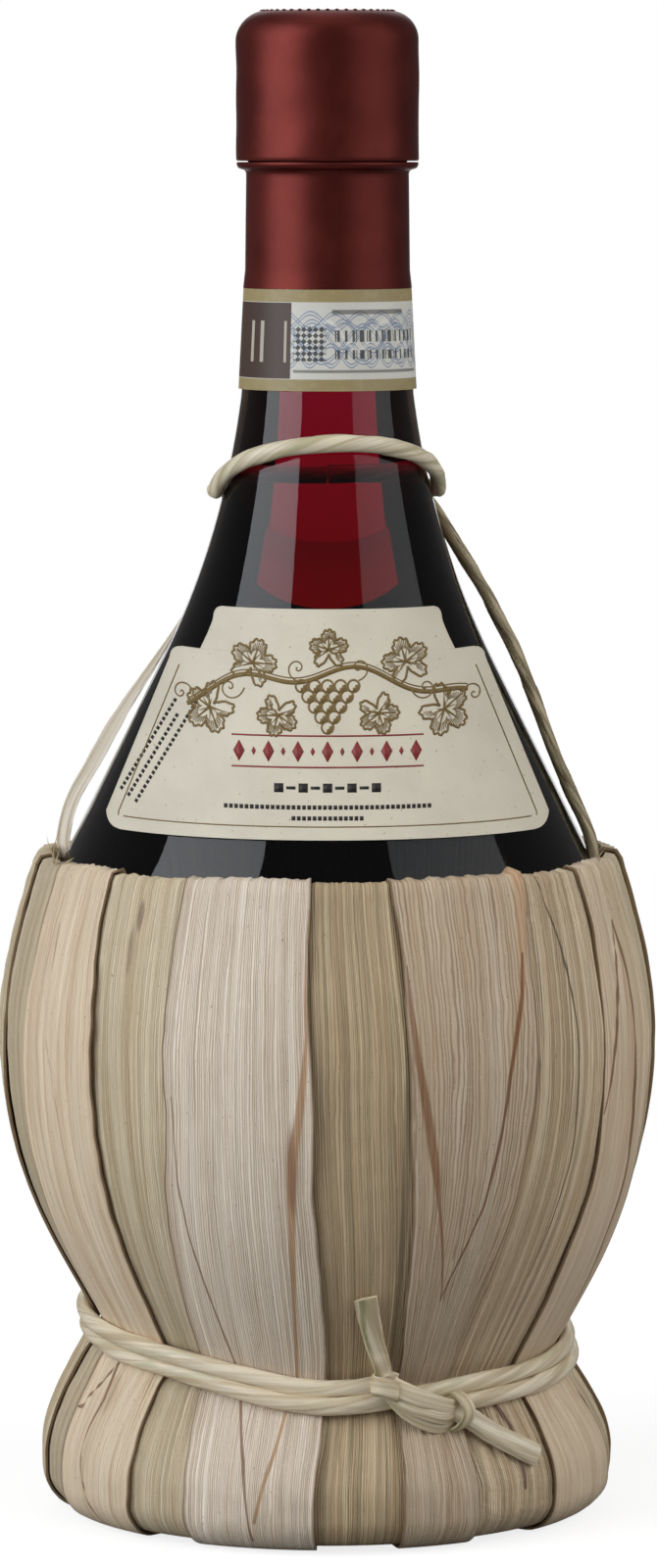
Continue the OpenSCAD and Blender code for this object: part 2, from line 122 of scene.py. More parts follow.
# The cords
LOOP_D = 2.9
LOOP_BACK_Z = 181.3
LOOP_RISE = 9
LOOP_TURN = 8
LOOP_ARC = 359.4
HANDLE_D = 2.3
HANDLE_CORD = [
    [0, 23.3, 181.2], [4, 23, 181.1], [8, 21.9, 180.8], [12.6, 19.4, 180.2], [15.2, 17.3, 179.8],
    [17.2, 14.5, 179.3], [18.9, 8.9, 177.6], [21.3, 6.6, 174], [24.3, 5.4, 169], [27.8, 4, 163.3],
    [30.6, 2.9, 157.9], [33.2, 1.8, 152.9], [36.4, 0.5, 145], [39.2, -0.8, 137.4],
    [41.9, -2, 130.6], [45.5, -3.8, 122.6], [46.8, -5, 118.8], [47, -5.2, 115.6],
]
HANDLE_STRIP = [
    [-11.4, 16.2, 179], [-13, 16.5, 176.2], [-18.5, 14.5, 168], [-24, 12, 159],
    [-29.2, 8.2, 151], [-35.8, 5.9, 141], [-41.2, 5.9, 131.5], [-45.2, 5.5, 124.5],
    [-47, 4.9, 119], [-46.9, 4.9, 115.2],
]
HANDLE_STRIP_W = 4.6
TIE_D = 2.3
TIE_PITCH = TIE_D + 0.6
SOFT_GAP = 0.3
KNOT_AZ = 21
KNOT_DROP = 0.8
KNOT_SIZE = 1.95
KNOT_START = 200
KNOT_ARC = 320
KNOT_D = 1.7
KNOT_DEPTH = (KNOT_D + 0.62) / 1.33
TAIL_UPPER = [
    [10.4, -45.9, 30.2], [9, -45.1, 33.5], [8, -46.2, 37], [7.2, -48, 41], [6.6, -49.9, 45],
]
TAIL_LOWER = [
    [21.7, -42.2, 24.9], [25.4, -39.9, 21.8], [29.4, -38.3, 19], [33.5, -36.6, 16.4],
    [36.5, -34.6, 14.6],
]
TAIL_W = 3.6

# The knot's flat turns: width, the way its flat side lies, and stops, each to the side, up and out
# from the knot's middle
KNOT_TURNS = [
    [3.4, [0, 1, 0], [[-3.2, -0.2, 0.2], [-5.4, 1.2, 2.2], [-7.6, 2, 2.4], [-8.9, 2.2, 1.1], [-8.2, 2.5, -0.4],
                      [-6, 2.6, -0.9], [-4, 2, -1]]],
    [3.2, [0.4, 1, 0], [[-5.6, 2, 1.0], [-3, 0.6, 2.6], [0.6, -0.9, 3], [4, -2.2, 2.4], [6.6, -3, 1]]],
    [3.0, [0.5, 1, 0], [[-6.2, 1, 0.4], [-3.6, -0.8, 2.2], [-0.2, -2.5, 2.8], [3.4, -3.7, 2.4], [6.6, -4, 0.8]]],
    [2.8, [0.5, 1, 0], [[-5.4, 0.2, 0], [-3, -2.6, 1.5], [0.2, -4.6, 2], [3.4, -5.5, 1.6], [6.4, -5, 0.4]]],
    [2.2, [1, 0.2, 0], [[6.2, -1.8, -1], [6.4, -0.3, 0.6], [7.3, -1, 2.8], [7.9, -3.2, 3.5], [7, -5.4, 2.6],
                        [5.6, -6.6, 0.6], [4.6, -6.4, -0.6]]],
]

# The handle's husk turns its face this far towards the front
STRIP_TURN = 38

# Torn fibres at the rim: angle, lean, height and width
FRAYS = [
    [-71, -4, 4.6, 0.9], [-70, 2, 6.2, 0.7], [-68.6, -1.5, 3.4, 1.1], [-66, 3, 1.6, 0.8],
    [-54, 1, 0.9, 0.9], [72, 3, 2.6, 0.6], [70, -2, 1.5, 0.7], [160, 4, 3, 0.8], [214, -3, 2.2, 0.7],
]

# What the glass sees behind the flask: half the white screen's width in degrees, and how far back
# the white strip of the table starts
SCREEN_HALF = 15
STRIP_FROM = 405


# Lines and surfaces as arrays
def smooth(t):
    """An eased step from 0 to 1: 3t² - 2t³."""
    t = np.clip(t, 0, 1)
    return t * t * (3 - 2 * t)


def mix(a, b, t):
    """The value a share t of the way from a to b."""
    return a + (b - a) * t


def unit(v):
    """Vectors at length 1."""
    return v / np.maximum(np.linalg.norm(v, axis=-1, keepdims=True), 1e-9)


def polar(degrees, r, z):
    """Points from an angle round the axis, a radius and a height: r sin a, -r cos a, z."""
    a = np.radians(degrees)
    return np.stack(np.broadcast_arrays(r * np.sin(a), -r * np.cos(a), z), -1).astype(float)


def arc(centre, r, start, end, count):
    """Points on a circle about a centre in the half plane, between two angles in degrees."""
    a = np.radians(np.linspace(start, end, count))
    return np.stack([centre[0] + r * np.cos(a), centre[1] + r * np.sin(a)], -1)


def curve(a, b, c, d, count):
    """A cubic curve from a to d that leaves towards b and arrives from c."""
    a, b, c, d = (np.array(p, float) for p in (a, b, c, d))
    t = np.linspace(0, 1, count)[:, None]
    s = 1 - t
    return s ** 3 * a + 3 * s * s * t * b + 3 * s * t * t * c + t ** 3 * d


def travel(points):
    """Distance along a line of points, at each of them."""
    steps = np.linalg.norm(np.diff(points, axis=0), axis=-1)
    return np.concatenate([[0], np.cumsum(steps)])


def even(points, step):
    """The same line with points at even steps of about the given length."""
    along = travel(points)
    at = np.linspace(0, along[-1], max(3, round(along[-1] / step) + 1))
    return np.stack([np.interp(at, along, points[:, i]) for i in range(points.shape[1])], -1)


def spline(stops, step):
    """A smooth curve through the stops: between two of them, the cubic whose end slopes are half
    the way between their neighbours."""
    p = np.array(stops, float)
    p = np.concatenate([[2 * p[0] - p[1]], p, [2 * p[-1] - p[-2]]])
    t = np.linspace(0, 1, 25)[:-1, None]
    parts = [
        curve(p[i], p[i] + (p[i + 1] - p[i - 1]) / 6, p[i + 1] - (p[i + 2] - p[i]) / 6, p[i + 1], 25)[:-1]
        for i in range(1, len(p) - 2)
    ]
    return even(np.concatenate(parts + [p[-2:-1]]), step)


def ripple(x, y, pitch_x, pitch_y, seed, waves=7):
    """Smooth seeded noise about 0, at most about 1: a mean of sine waves whose lengths are near
    the two pitches."""
    draw = np.random.default_rng(seed)
    kx = 2 * np.pi / pitch_x * draw.uniform(0.55, 1.5, waves) * draw.choice([-1, 1], waves)
    ky = 2 * np.pi / pitch_y * draw.uniform(0.4, 1.5, waves)
    phase = draw.uniform(0, 2 * np.pi, waves)
    x, y = np.broadcast_arrays(x, y)
    return np.sin(x[..., None] * kx + y[..., None] * ky + phase).sum(-1) / math.sqrt(waves * 2)


def flask_line(depth, floor_z, neck_depth):
    """Half profile at a depth under the glass: an ellipse up to the belly, an arc up to the
    shoulder, the straight shoulder, and a cubic curve into the neck."""
    angle = math.atan(SHOULDER_SLOPE)
    shoulder_r = BELLY_R - (SHOULDER_Z - BELLY_Z) * math.tan(angle / 2)
    end_r = shoulder_r - SHOULDER_SLOPE * (SHOULDER_END_Z - SHOULDER_Z) - depth / math.cos(angle)
    bend = (SHOULDER_Z - BELLY_Z) / math.sin(angle)
    a = np.radians(np.linspace(0, 90, 60))[:-1]
    belly = np.stack([(BELLY_R - depth) * np.sin(a), BELLY_Z - (BELLY_Z - floor_z) * np.cos(a)], -1)
    shoulder = arc([BELLY_R - bend, BELLY_Z], bend - depth, 0, math.degrees(angle), 20)
    neck = curve(
        [end_r, SHOULDER_END_Z], [end_r - 7.4 * SHOULDER_SLOPE, SHOULDER_END_Z + 7.4],
        [NECK_R - neck_depth + 3.3, NECK_Z - 25.4], [NECK_R - neck_depth, NECK_Z], 40,
    )
    straight = np.linspace(shoulder[-1], neck[0], 8)[1:-1]
    return np.concatenate([belly, shoulder, straight, neck])


FLASK_LINE = flask_line(0, BOTTOM_Z, 0)


def flask_r(z):
    """Outer radius of the glass at a height between the bottom and the neck."""
    return np.interp(z, FLASK_LINE[:, 1], FLASK_LINE[:, 0])


# Meshes: faces of a grid, and one maker for every piece
def grid(rows, cols, round_rows=False, round_cols=False):
    """Quads over a grid of points, and the row and column of each corner, not wrapped, so that a
    pattern has no seam. A round direction joins its end to its start."""
    r = np.arange(rows if round_rows else rows - 1)[:, None]
    c = np.arange(cols if round_cols else cols - 1)[None, :]
    r, c = (a.ravel() for a in np.broadcast_arrays(r, c))
    corner_r = np.stack([r, r, r + 1, r + 1], -1)
    corner_c = np.stack([c, c + 1, c + 1, c], -1)
    return corner_r % rows * cols + corner_c % cols, corner_r, corner_c


def shape(points, faces, uv):
    """One part of a mesh: points in millimetres, a list of face arrays, and a list of arrays with
    the pattern's coordinates at the corners of those faces."""
    return {"points": points.reshape(-1, 3), "faces": faces, "uv": uv}


def joined(shapes):
    """Several parts as one."""
    start = 0
    faces, uv = [], []
    for s in shapes:
        faces += [f + start for f in s["faces"]]
        uv += s["uv"]
        start += len(s["points"])
    return shape(np.concatenate([s["points"] for s in shapes]), faces, uv)


def volume_of(part):
    """Volume inside a closed part: a sixth of the sum of its triangles' triple products."""
    total = 0
    for f in part["faces"]:
        p = part["points"][f]
        for i in range(1, f.shape[1] - 1):
            total += (p[:, 0] * np.cross(p[:, i], p[:, i + 1])).sum()
    return total / 6


def outward(part):
    """The part with its faces turned so that they point out of it."""
    if volume_of(part) < 0:
        part["faces"] = [f[:, ::-1] for f in part["faces"]]
        part["uv"] = [u[:, ::-1] for u in part["uv"]]
    return part


def piece(name, part, body, finish, replaces=(), sharp=None):
    """A finished object from a part: it gets its mesh, its smooth shading, its pattern's
    coordinates, its finish, and the body that it rides on."""
    mesh = bpy.data.meshes.new(name)
    faces = [face for f in part["faces"] for face in f.tolist()]
    mesh.from_pydata((part["points"] * MM).tolist(), [], faces)
    corners = np.concatenate([u.reshape(-1, u.shape[-1]) for u in part["uv"]])
    for layer in range(corners.shape[1] // 2):
        pair = corners[:, layer * 2:layer * 2 + 2]
        place = mesh.uv_layers.new(name=("Grain", "Place")[layer])
        place.data.foreach_set("uv", np.ascontiguousarray(pair, np.float32).ravel())
    mesh.shade_smooth()
    if sharp:
        mesh.set_sharp_from_angle(angle=math.radians(sharp))
    mesh.materials.append(finish)
    mesh.update()
    made = bpy.data.objects.new(name, mesh)
    bpy.context.scene.collection.objects.link(made)
    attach(made, body)
    if replaces:
        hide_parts(*replaces)
    return made


def lathe(profile, sides, marks=None):
    """A profile of radii and heights turned round the axis. One that starts and ends on the axis
    closes in two poles, and any other closes on itself. Its pattern has the angle and height, and
    a second layer has the profile's marks, one number for each of its points."""
    profile = np.array(profile, float)
    marks = np.zeros(len(profile)) if marks is None else marks
    poles = profile[0, 0] == 0
    ring = profile[1:-1] if poles else profile
    worth = marks[1:-1] if poles else marks
    degrees = -180 + np.arange(sides + 1) * 360 / sides
    points = polar(degrees[None, :-1], ring[:, :1], ring[:, 1:]).reshape(-1, 3)
    quads, rows, cols = grid(len(ring), sides, not poles, True)
    heights = np.concatenate([ring[:, 1], ring[:1, 1]])
    worth = np.concatenate([worth, worth[:1]])
    uv = [np.stack([degrees[cols], heights[rows], worth[rows], 0 * worth[rows]], -1)]
    faces = [quads]
    if poles:
        around = np.arange(sides)
        beside = (around + 1) % sides
        for row, tip, flip in ((0, profile[0], False), (len(ring) - 1, profile[-1], True)):
            pole = np.full(sides, len(points))
            points = np.concatenate([points, [[0, 0, tip[1]]]])
            fan = np.stack([row * sides + around, pole, row * sides + beside], -1)
            tones = np.stack([degrees[:-1], degrees[:-1], degrees[1:]], -1)
            levels = np.stack(np.broadcast_arrays(ring[row, 1], tip[1], np.full(sides, ring[row, 1])), -1)
            fan_uv = np.stack([tones, levels, 0 * tones + worth[row], 0 * tones], -1)
            faces.append(fan[:, ::-1] if flip else fan)
            uv.append(fan_uv[:, ::-1] if flip else fan_uv)
    return outward(shape(points, faces, uv))


def slab(top, bottom, uv):
    """A closed thin sheet between two grids of points, with the same pattern on both sides."""
    rows, cols = top.shape[:2]
    quads, _, _ = grid(rows, cols)
    under = rows * cols
    r = np.arange(rows - 1)
    c = np.arange(cols - 1)
    edges = [
        np.stack([r * cols, (r + 1) * cols, (r + 1) * cols + under, r * cols + under], -1),
        np.stack([(r + 1) * cols, r * cols, r * cols + under, (r + 1) * cols + under], -1) + [cols - 1],
        np.stack([c + 1, c, c + under, c + 1 + under], -1),
        np.stack([c, c + 1, c + 1 + under, c + under], -1) + [(rows - 1) * cols],
    ]
    faces = np.concatenate([quads, quads[:, ::-1] + under] + edges)
    flat = uv.reshape(-1, uv.shape[-1])
    points = np.concatenate([top.reshape(-1, 3), bottom.reshape(-1, 3)])
    return outward(shape(points, [faces], [flat[faces % under]]))


def sweep(path, guide, width, thick, sides, outline=None, turn=0):
    """A tube along a path. A cut at angle a lies at half the width times cos a across the guide
    and half the thickness times sin a along it, both times the outline's share at that place,
    and the whole cut turns about the path by turn degrees."""
    along = travel(path)
    heading = unit(np.gradient(path, axis=0))
    side = unit(np.cross(heading, guide))
    up = np.cross(side, heading)
    a = np.arange(sides + 1)[None, :] * 2 * np.pi / sides
    share = outline(along[:, None], a) if outline else np.ones((len(path), sides + 1))
    lean = np.radians(np.broadcast_to(turn, along.shape))[:, None]
    across = np.broadcast_to(width, along.shape)[:, None] / 2 * np.cos(a) * share
    off = np.broadcast_to(thick, along.shape)[:, None] / 2 * np.sin(a) * share
    x = across * np.cos(lean) - off * np.sin(lean)
    y = across * np.sin(lean) + off * np.cos(lean)
    cut = path[:, None] + x[..., None] * side[:, None] + y[..., None] * up[:, None]
    points = np.concatenate([cut[:, :-1].reshape(-1, 3), path[:1], path[-1:]])
    quads, rows, cols = grid(len(path), sides, False, True)
    girth = (np.mean(width) + np.mean(thick)) / 4
    spread = np.stack(np.broadcast_arrays(a * girth, along[:, None]), -1)
    ends = []
    end_uv = []
    j = np.arange(sides)
    for row, tip in ((0, len(path) * sides), (len(path) - 1, len(path) * sides + 1)):
        fan = np.stack([row * sides + (j + 1) % sides, row * sides + j, np.full(sides, tip)], -1)
        fan_uv = np.stack([spread[row, 1:], spread[row, :-1], spread[row, :-1]], 1)
        ends.append(fan if row == 0 else fan[:, ::-1])
        end_uv.append(fan_uv if row == 0 else fan_uv[:, ::-1])
    return outward(shape(points, [quads] + ends, [spread[rows, cols]] + end_uv))


def twisted(pitch, depth, seed):
    """The outline of a cord that is twisted from a rolled husk: two and three soft lobes and a
    few sharp creases, which turn once in each pitch and drift a little."""
    def outline(along, a):
        drift = ripple(along, 0, 23, 1, seed) * 0.7
        t = a - 2 * np.pi * along / pitch + drift
        lobes = 0.5 * np.cos(2 * t) + 0.35 * np.cos(3 * t + 1)
        crease = np.abs(np.sin(1.5 * t + 0.4)) ** 0.35 - 0.8
        return 1 + depth * (lobes + 0.9 * crease + 0.35 * ripple(t * 2, along, 1.6, 9, seed + 1))
    return outline


def rolled(pitch, depth, seed):
    """The outline of a flat husk that is loosely rolled into a cord: an oval with two deep narrow
    creases and a few soft folds, which turn once in each long pitch and drift a little."""
    def outline(along, a):
        t = a - 2 * np.pi * along / pitch + ripple(along, 0, 26, 1, seed) * 0.8
        oval = 0.55 * np.cos(2 * t) + 0.2 * np.cos(3 * t + 1.3)
        first = np.exp(-(np.sin((t - 0.6) / 2) / 0.10) ** 2)
        second = np.exp(-(np.sin((t - 3.3) / 2) / 0.07) ** 2)
        folds = ripple(t * 2.2, along, 1.1, 26, seed + 1)
        return 1 + depth * (oval - 1.2 * first - 0.8 * second + 0.22 * folds)
    return outline


# Shader trees: sockets with arithmetic, and one method for every node
class Value:
    """A socket of a node tree that can be reckoned with: each operator adds its Math node."""

    def __init__(self, finish, socket):
        self.finish = finish
        self.socket = socket

    def reckon(self, operation, *values):
        settings = {"operation": operation}
        return self.finish.node("ShaderNodeMath", settings, dict(enumerate(values)))

    def __add__(self, other):
        return self.reckon("ADD", self, other)

    def __radd__(self, other):
        return self.reckon("ADD", other, self)

    def __sub__(self, other):
        return self.reckon("SUBTRACT", self, other)

    def __rsub__(self, other):
        return self.reckon("SUBTRACT", other, self)

    def __mul__(self, other):
        return self.reckon("MULTIPLY", self, other)

    def __rmul__(self, other):
        return self.reckon("MULTIPLY", other, self)

    def __truediv__(self, other):
        return self.reckon("DIVIDE", self, other)

    def __rtruediv__(self, other):
        return self.reckon("DIVIDE", other, self)

    def __pow__(self, other):
        return self.reckon("POWER", self, other)

    def most(self, other):
        return self.reckon("MAXIMUM", self, other)

    def least(self, other):
        return self.reckon("MINIMUM", self, other)

    def over(self, other):
        return self.reckon("GREATER_THAN", self, other)

    def under(self, other):
        return self.reckon("LESS_THAN", self, other)

    def sine(self):
        return self.reckon("SINE", self)

    def size(self):
        return self.reckon("ABSOLUTE", self)

    def wrapped(self, low, high):
        return self.reckon("WRAP", self, high, low)

    def step(self, low, high):
        """0 up to low, 1 from high on, and eased between them."""
        settings = {"interpolation_type": "SMOOTHSTEP"}
        inputs = {"Value": self, "From Min": low, "From Max": high}
        return self.finish.node("ShaderNodeMapRange", settings, inputs)


class Finish:
    """The node tree of a material or of the world, with the calls that build it."""

    def __init__(self, owner):
        owner.use_nodes = True
        self.owner = owner
        self.tree = owner.node_tree
        self.tree.nodes.clear()

    def put(self, socket, value):
        """Links a value to a socket, or sets the socket to a number, colour or vector."""
        if isinstance(value, Value):
            self.tree.links.new(value.socket, socket)
        elif isinstance(value, (tuple, list)):
            room = len(socket.default_value)
            socket.default_value = tuple(value) + (1,) * (room - len(value))
        else:
            socket.default_value = value

    def node(self, kind, settings=None, inputs=None, out=0):
        """Adds any node: its settings first, then its inputs by name or number."""
        made = self.tree.nodes.new(kind)
        for key, value in (settings or {}).items():
            if key == "stops":
                ramp = made.color_ramp
                while len(ramp.elements) < len(value):
                    ramp.elements.new(1)
                for element, (at, colour) in zip(ramp.elements, value):
                    element.position = at
                    element.color = tuple(colour) + (1,)
            else:
                setattr(made, key, value)
        for key, value in (inputs or {}).items():
            self.put(made.inputs[key], value)
        return Value(self, made.outputs[out]) if made.outputs else None

    def blend(self, share, a, b, kind="MIX"):
        """Two colours mixed by a share."""
        settings = {"data_type": "RGBA", "blend_type": kind}
        return self.node("ShaderNodeMix", settings, {0: share, 6: a, 7: b}, 2)

    def ramp(self, at, stops, interpolation="LINEAR"):
        """A colour, or a number given as a grey, read from stops along a line from 0 to 1."""
        found = self.node("ShaderNodeValToRGB", {"stops": stops}, {0: at})
        found.socket.node.color_ramp.interpolation = interpolation
        return found

    def line(self, at, low, high, points):
        """A number that runs straight between points of place and number, both in their own
        units, for a place from low to high and a number from -1 to 1."""
        stops = [((p - low) / (high - low), (0.5 + v / 2,) * 3) for p, v in sorted(points)]
        return (self.ramp((at - low) / (high - low), stops) - 0.5) * 2

    def pattern(self, layer):
        """The two coordinates of a pattern layer, and both as one vector."""
        both = self.node("ShaderNodeUVMap", {"uv_map": layer})
        split = self.node("ShaderNodeSeparateXYZ", None, {0: both})
        return split, Value(self, split.socket.node.outputs[1]), both

    def vector(self, x, y, z=0.0):
        """Three numbers as a vector."""
        return self.node("ShaderNodeCombineXYZ", None, {0: x, 1: y, 2: z})

    def noise(self, place, scale=1.0, detail=2.0, rough=0.5, bend=0.0):
        """Smooth noise from 0 to 1 at a place."""
        inputs = {"Vector": place, "Scale": scale, "Detail": detail, "Roughness": rough,
                  "Distortion": bend}
        return self.node("ShaderNodeTexNoise", None, inputs)

    def surface(self, **sockets):
        """The Principled surface as the material's output. A name's underscores are spaces."""
        names = {key.replace("_", " "): value for key, value in sockets.items()}
        made = self.node("ShaderNodeBsdfPrincipled", None, names)
        self.node("ShaderNodeOutputMaterial", None, {"Surface": made})
        return made

    def bump(self, height, distance, strength=1.0):
        """A normal from a height that runs from 0 to 1 over a distance in millimetres."""
        inputs = {"Strength": strength, "Distance": distance * MM, "Height": height}
        return self.node("ShaderNodeBump", None, inputs)


def material(name):
    """A new material's tree."""
    return Finish(bpy.data.materials.new(name))


def shade(red, green, blue):
    """A colour picked on screen, from 0 to 255, as light."""
    return tuple(
        c / 12.92 if c <= 0.04045 else ((c + 0.055) / 1.055) ** 2.4
        for c in (red / 255, green / 255, blue / 255)
    )


def dim(colour, share):
    """A colour with its light times a share."""
    return tuple(c * share for c in colour)


# Camera, lamps, sky and table
def add_camera():
    """A long lens a little over a metre away, just above the label, looking slightly down."""
    eye = np.array([0, -1.183, 0.2437])
    aim = np.array([0.00017, 0, 0.1289])
    camera = bpy.data.cameras.new("camera")
    camera.sensor_width = 36
    camera.lens = 153.4
    made = bpy.data.objects.new("camera", camera)
    bpy.context.scene.collection.objects.link(made)
    made.location = eye
    ahead = aim - eye
    down = math.atan2(-ahead[2], math.hypot(ahead[0], ahead[1]))
    made.rotation_euler = (math.pi / 2 - down, 0, -math.atan2(ahead[0], ahead[1]))
    bpy.context.scene.camera = made


def add_softbox(name, side_from, side_to, low, high, away, radiance, tint, mirrored=True):
    """An upright box of light that spans two angles from the camera's side of the flask, a lower
    and an upper height, at a distance. It is dimmer where it is seen aslant. One that
    isn't mirrored lights the object without a reflection of its own."""
    middle = math.radians((side_from + side_to) / 2)
    half = math.radians(abs(side_to - side_from) / 2)
    width = 2 * away * math.tan(half)
    lamp = bpy.data.lights.new(name, "AREA")
    lamp.shape = "RECTANGLE"
    lamp.size = width
    lamp.size_y = high - low
    lamp.energy = 2.6 * width * (high - low) * radiance
    lamp.color = tint
    made = bpy.data.objects.new(name, lamp)
    bpy.context.scene.collection.objects.link(made)
    made.location = (away * math.sin(middle), -away * math.cos(middle), (low + high) / 2)
    made.rotation_euler = (math.pi / 2, 0, middle)
    made.visible_glossy = mirrored
    lamp.spread = math.radians(150)


def add_sky():
    """White behind the flask for the camera, and a dim room for soft light. The glass and the
    foil see a narrow white screen behind the flask, and little else."""
    sky = Finish(bpy.data.worlds.new("sky"))
    bpy.context.scene.world = sky.owner
    way = sky.node("ShaderNodeTexCoord")
    split = sky.node("ShaderNodeSeparateXYZ", None, {0: way})
    y = Value(sky, split.socket.node.outputs[1])
    z = Value(sky, split.socket.node.outputs[2])
    slope = (split / y.most(0.001)).size()
    screen = y.over(0.02) * slope.under(math.tan(math.radians(SCREEN_HALF)))
    ray = sky.node("ShaderNodeLightPath")
    sockets = ray.socket.node.outputs
    from_camera = Value(sky, sockets["Is Camera Ray"])
    glossy = Value(sky, sockets["Is Glossy Ray"])
    through = Value(sky, sockets["Is Transmission Ray"])
    mirror = glossy * (1 - through)
    seen = mirror * (0.1 + screen * 0.9 + z.step(0.78, 0.95) * 0.5)
    seen = seen + through * (screen * 0.55 + 0.01)
    level = from_camera.most((1 - glossy) * (1 - through) * 0.23 + seen)
    back = sky.node("ShaderNodeBackground", None, {"Color": (1, 1, 1), "Strength": level})
    sky.node("ShaderNodeOutputWorld", None, {"Surface": back})


def add_table():
    """A round pale table top that shows white to the camera and keeps the flask's shadow. Through
    the glass only a white strip of it shows, which starts some way behind the flask."""
    sides = 96
    rim = polar(np.arange(sides) * 360 / sides, 600, -0.2)
    mesh = bpy.data.meshes.new("table")
    mesh.from_pydata((rim * MM).tolist(), [], [list(range(sides))])
    top = material("table_white")
    sockets = top.node("ShaderNodeLightPath").socket.node.outputs
    from_camera = Value(top, sockets["Is Camera Ray"])
    through = Value(top, sockets["Is Transmission Ray"])
    lit = top.node("ShaderNodeBsdfPrincipled", None, {"Base Color": (0.9, 0.9, 0.9), "Roughness": 0.7})
    glow = top.node("ShaderNodeEmission", None, {"Color": (1, 1, 1), "Strength": 1.24})
    shown = top.node("ShaderNodeMixShader", None, {0: 0.65, 1: lit, 2: glow})
    dull = top.node("ShaderNodeBsdfDiffuse", None, {"Color": (0.22, 0.22, 0.22)})
    place = top.node("ShaderNodeTexCoord", None, None, 3)
    x = top.node("ShaderNodeSeparateXYZ", None, {0: place})
    y = Value(top, x.socket.node.outputs[1])
    strip = y.over(STRIP_FROM * MM) * (x / y.most(0.001)).size().under(math.tan(math.radians(SCREEN_HALF)))
    behind = top.node("ShaderNodeEmission", None, {"Color": (1, 1, 1), "Strength": strip * (0.58 - y.step(0.38, 0.62) * 0.24)})
    unseen = top.node("ShaderNodeMixShader", None, {0: through, 1: dull, 2: behind})
    both = top.node("ShaderNodeMixShader", None, {0: from_camera, 1: unseen, 2: shown})
    top.node("ShaderNodeOutputMaterial", None, {"Surface": both})
    mesh.materials.append(top.owner)
    made = bpy.data.objects.new("table", mesh)
    bpy.context.scene.collection.objects.link(made)


# Finishes
def glass_finish():
    """Dark olive bottle glass, whose colour lies in its thickness. Where the wine wets its inside
    it mirrors nothing."""
    m = material("olive_glass")
    wet, _, _ = m.pattern("Place")
    clear = {"Base Color": (1, 1, 1), "Roughness": 0.0, "IOR": 1.5, "Transmission Weight": 1.0}
    dry = m.node("ShaderNodeBsdfPrincipled", None, clear)
    soaked = m.node("ShaderNodeBsdfPrincipled", None, dict(clear, **{"Specular Tint": (0, 0, 0)}))
    both = m.node("ShaderNodeMixShader", None, {0: wet.over(0.5), 1: dry, 2: soaked})
    tint = m.node("ShaderNodeVolumeAbsorption", None, {"Color": (0.6, 0.4, 0.2), "Density": 250.0})
    m.node("ShaderNodeOutputMaterial", None, {"Surface": both, "Volume": tint})
    return m.owner


def wine_finish():
    """Deep red wine, black in the belly and ruby in the neck. Its skin lies in the glass, where it
    mirrors nothing."""
    m = material("ruby_wine")
    wine = m.node("ShaderNodeBsdfPrincipled", None, {
        "Base Color": (1, 1, 1), "Roughness": 0.0, "IOR": 1.33, "Transmission Weight": 1.0,
        "Specular Tint": (0, 0, 0),
    })
    tint = m.node("ShaderNodeVolumeAbsorption", None, {"Color": (0.92, 0.15, 0.617), "Density": 300.0})
    m.node("ShaderNodeOutputMaterial", None, {"Surface": wine, "Volume": tint})
    return m.owner


def foil_finish():
    """Dark red lacquered foil: a satin metal with soft rubbed patches and fine draw lines."""
    m = material("red_foil")
    place = m.node("ShaderNodeTexCoord", None, None, 3)
    rub = m.noise(place, 90, 4, 0.6)
    fine = m.noise(place, 900, 2, 0.5)
    dents = m.noise(place, 160, 2, 0.4)
    colour = m.blend(rub.step(0.35, 0.7), shade(96, 35, 30), shade(110, 43, 37))
    height = dents * 0.75 + fine * 0.25
    m.surface(
        Base_Color=colour, Metallic=0.8, Roughness=rub * 0.16 + fine * 0.08 + 0.3,
        Normal=m.bump(height, 0.10, 0.5),
    )
    return m.owner


def cork_finish():
    """Cork with darker pores stretched along it."""
    m = material("cork_oak")
    place = m.node("ShaderNodeTexCoord", None, None, 3)
    grain = m.noise(place, 350, 5, 0.65)
    pores = m.node("ShaderNodeTexVoronoi", None, {"Vector": place, "Scale": 420.0})
    dark = 1 - pores.step(0.08, 0.3)
    base = m.blend(grain.step(0.3, 0.75), shade(206, 170, 124), shade(181, 138, 92))
    m.surface(
        Base_Color=m.blend(dark * 0.7, base, shade(96, 62, 38)), Roughness=0.82,
        Normal=m.bump(grain * 0.4 - dark * 0.6, 0.35, 0.8),
    )
    return m.owner


def paper(m, u, v, tone, stain):
    """The colour and height of laid paper at a place in millimetres: fibres, clouds, specks."""
    place = m.vector(u, v)
    cloud = m.noise(place, 0.08, 3, 0.6)
    fibre = m.noise(place, 2.6, 4, 0.65)
    specks = m.noise(place, 1.3, 1, 0.5).step(0.71, 0.76)
    base = m.blend(cloud.step(0.3, 0.75), tone, dim(tone, 0.88))
    base = m.blend(fibre.step(0.35, 0.8) * 0.35, base, dim(tone, 1.1))
    return m.blend(specks * 0.55, base, stain), fibre


def label_finish():
    """Cream laid paper with ochre specks."""
    m = material("cream_label")
    u, v, _ = m.pattern("Grain")
    colour, fibre = paper(m, u, v, shade(214, 206, 187), shade(150, 124, 80))
    m.surface(Base_Color=colour, Roughness=fibre * 0.15 + 0.55, Normal=m.bump(fibre, 0.05, 0.5))
    return m.owner


def ink_finish(name, tone, rough):
    """Printing ink that lets a little of the paper's grain through."""
    m = material(name)
    place = m.node("ShaderNodeTexCoord", None, None, 3)
    worn = m.noise(place, 1400, 3, 0.6)
    m.surface(
        Base_Color=m.blend(worn.step(0.45, 0.8) * 0.5, tone, dim(tone, 1.8)), Roughness=rough,
        Normal=m.bump(worn, 0.02, 0.4),
    )
    return m.owner


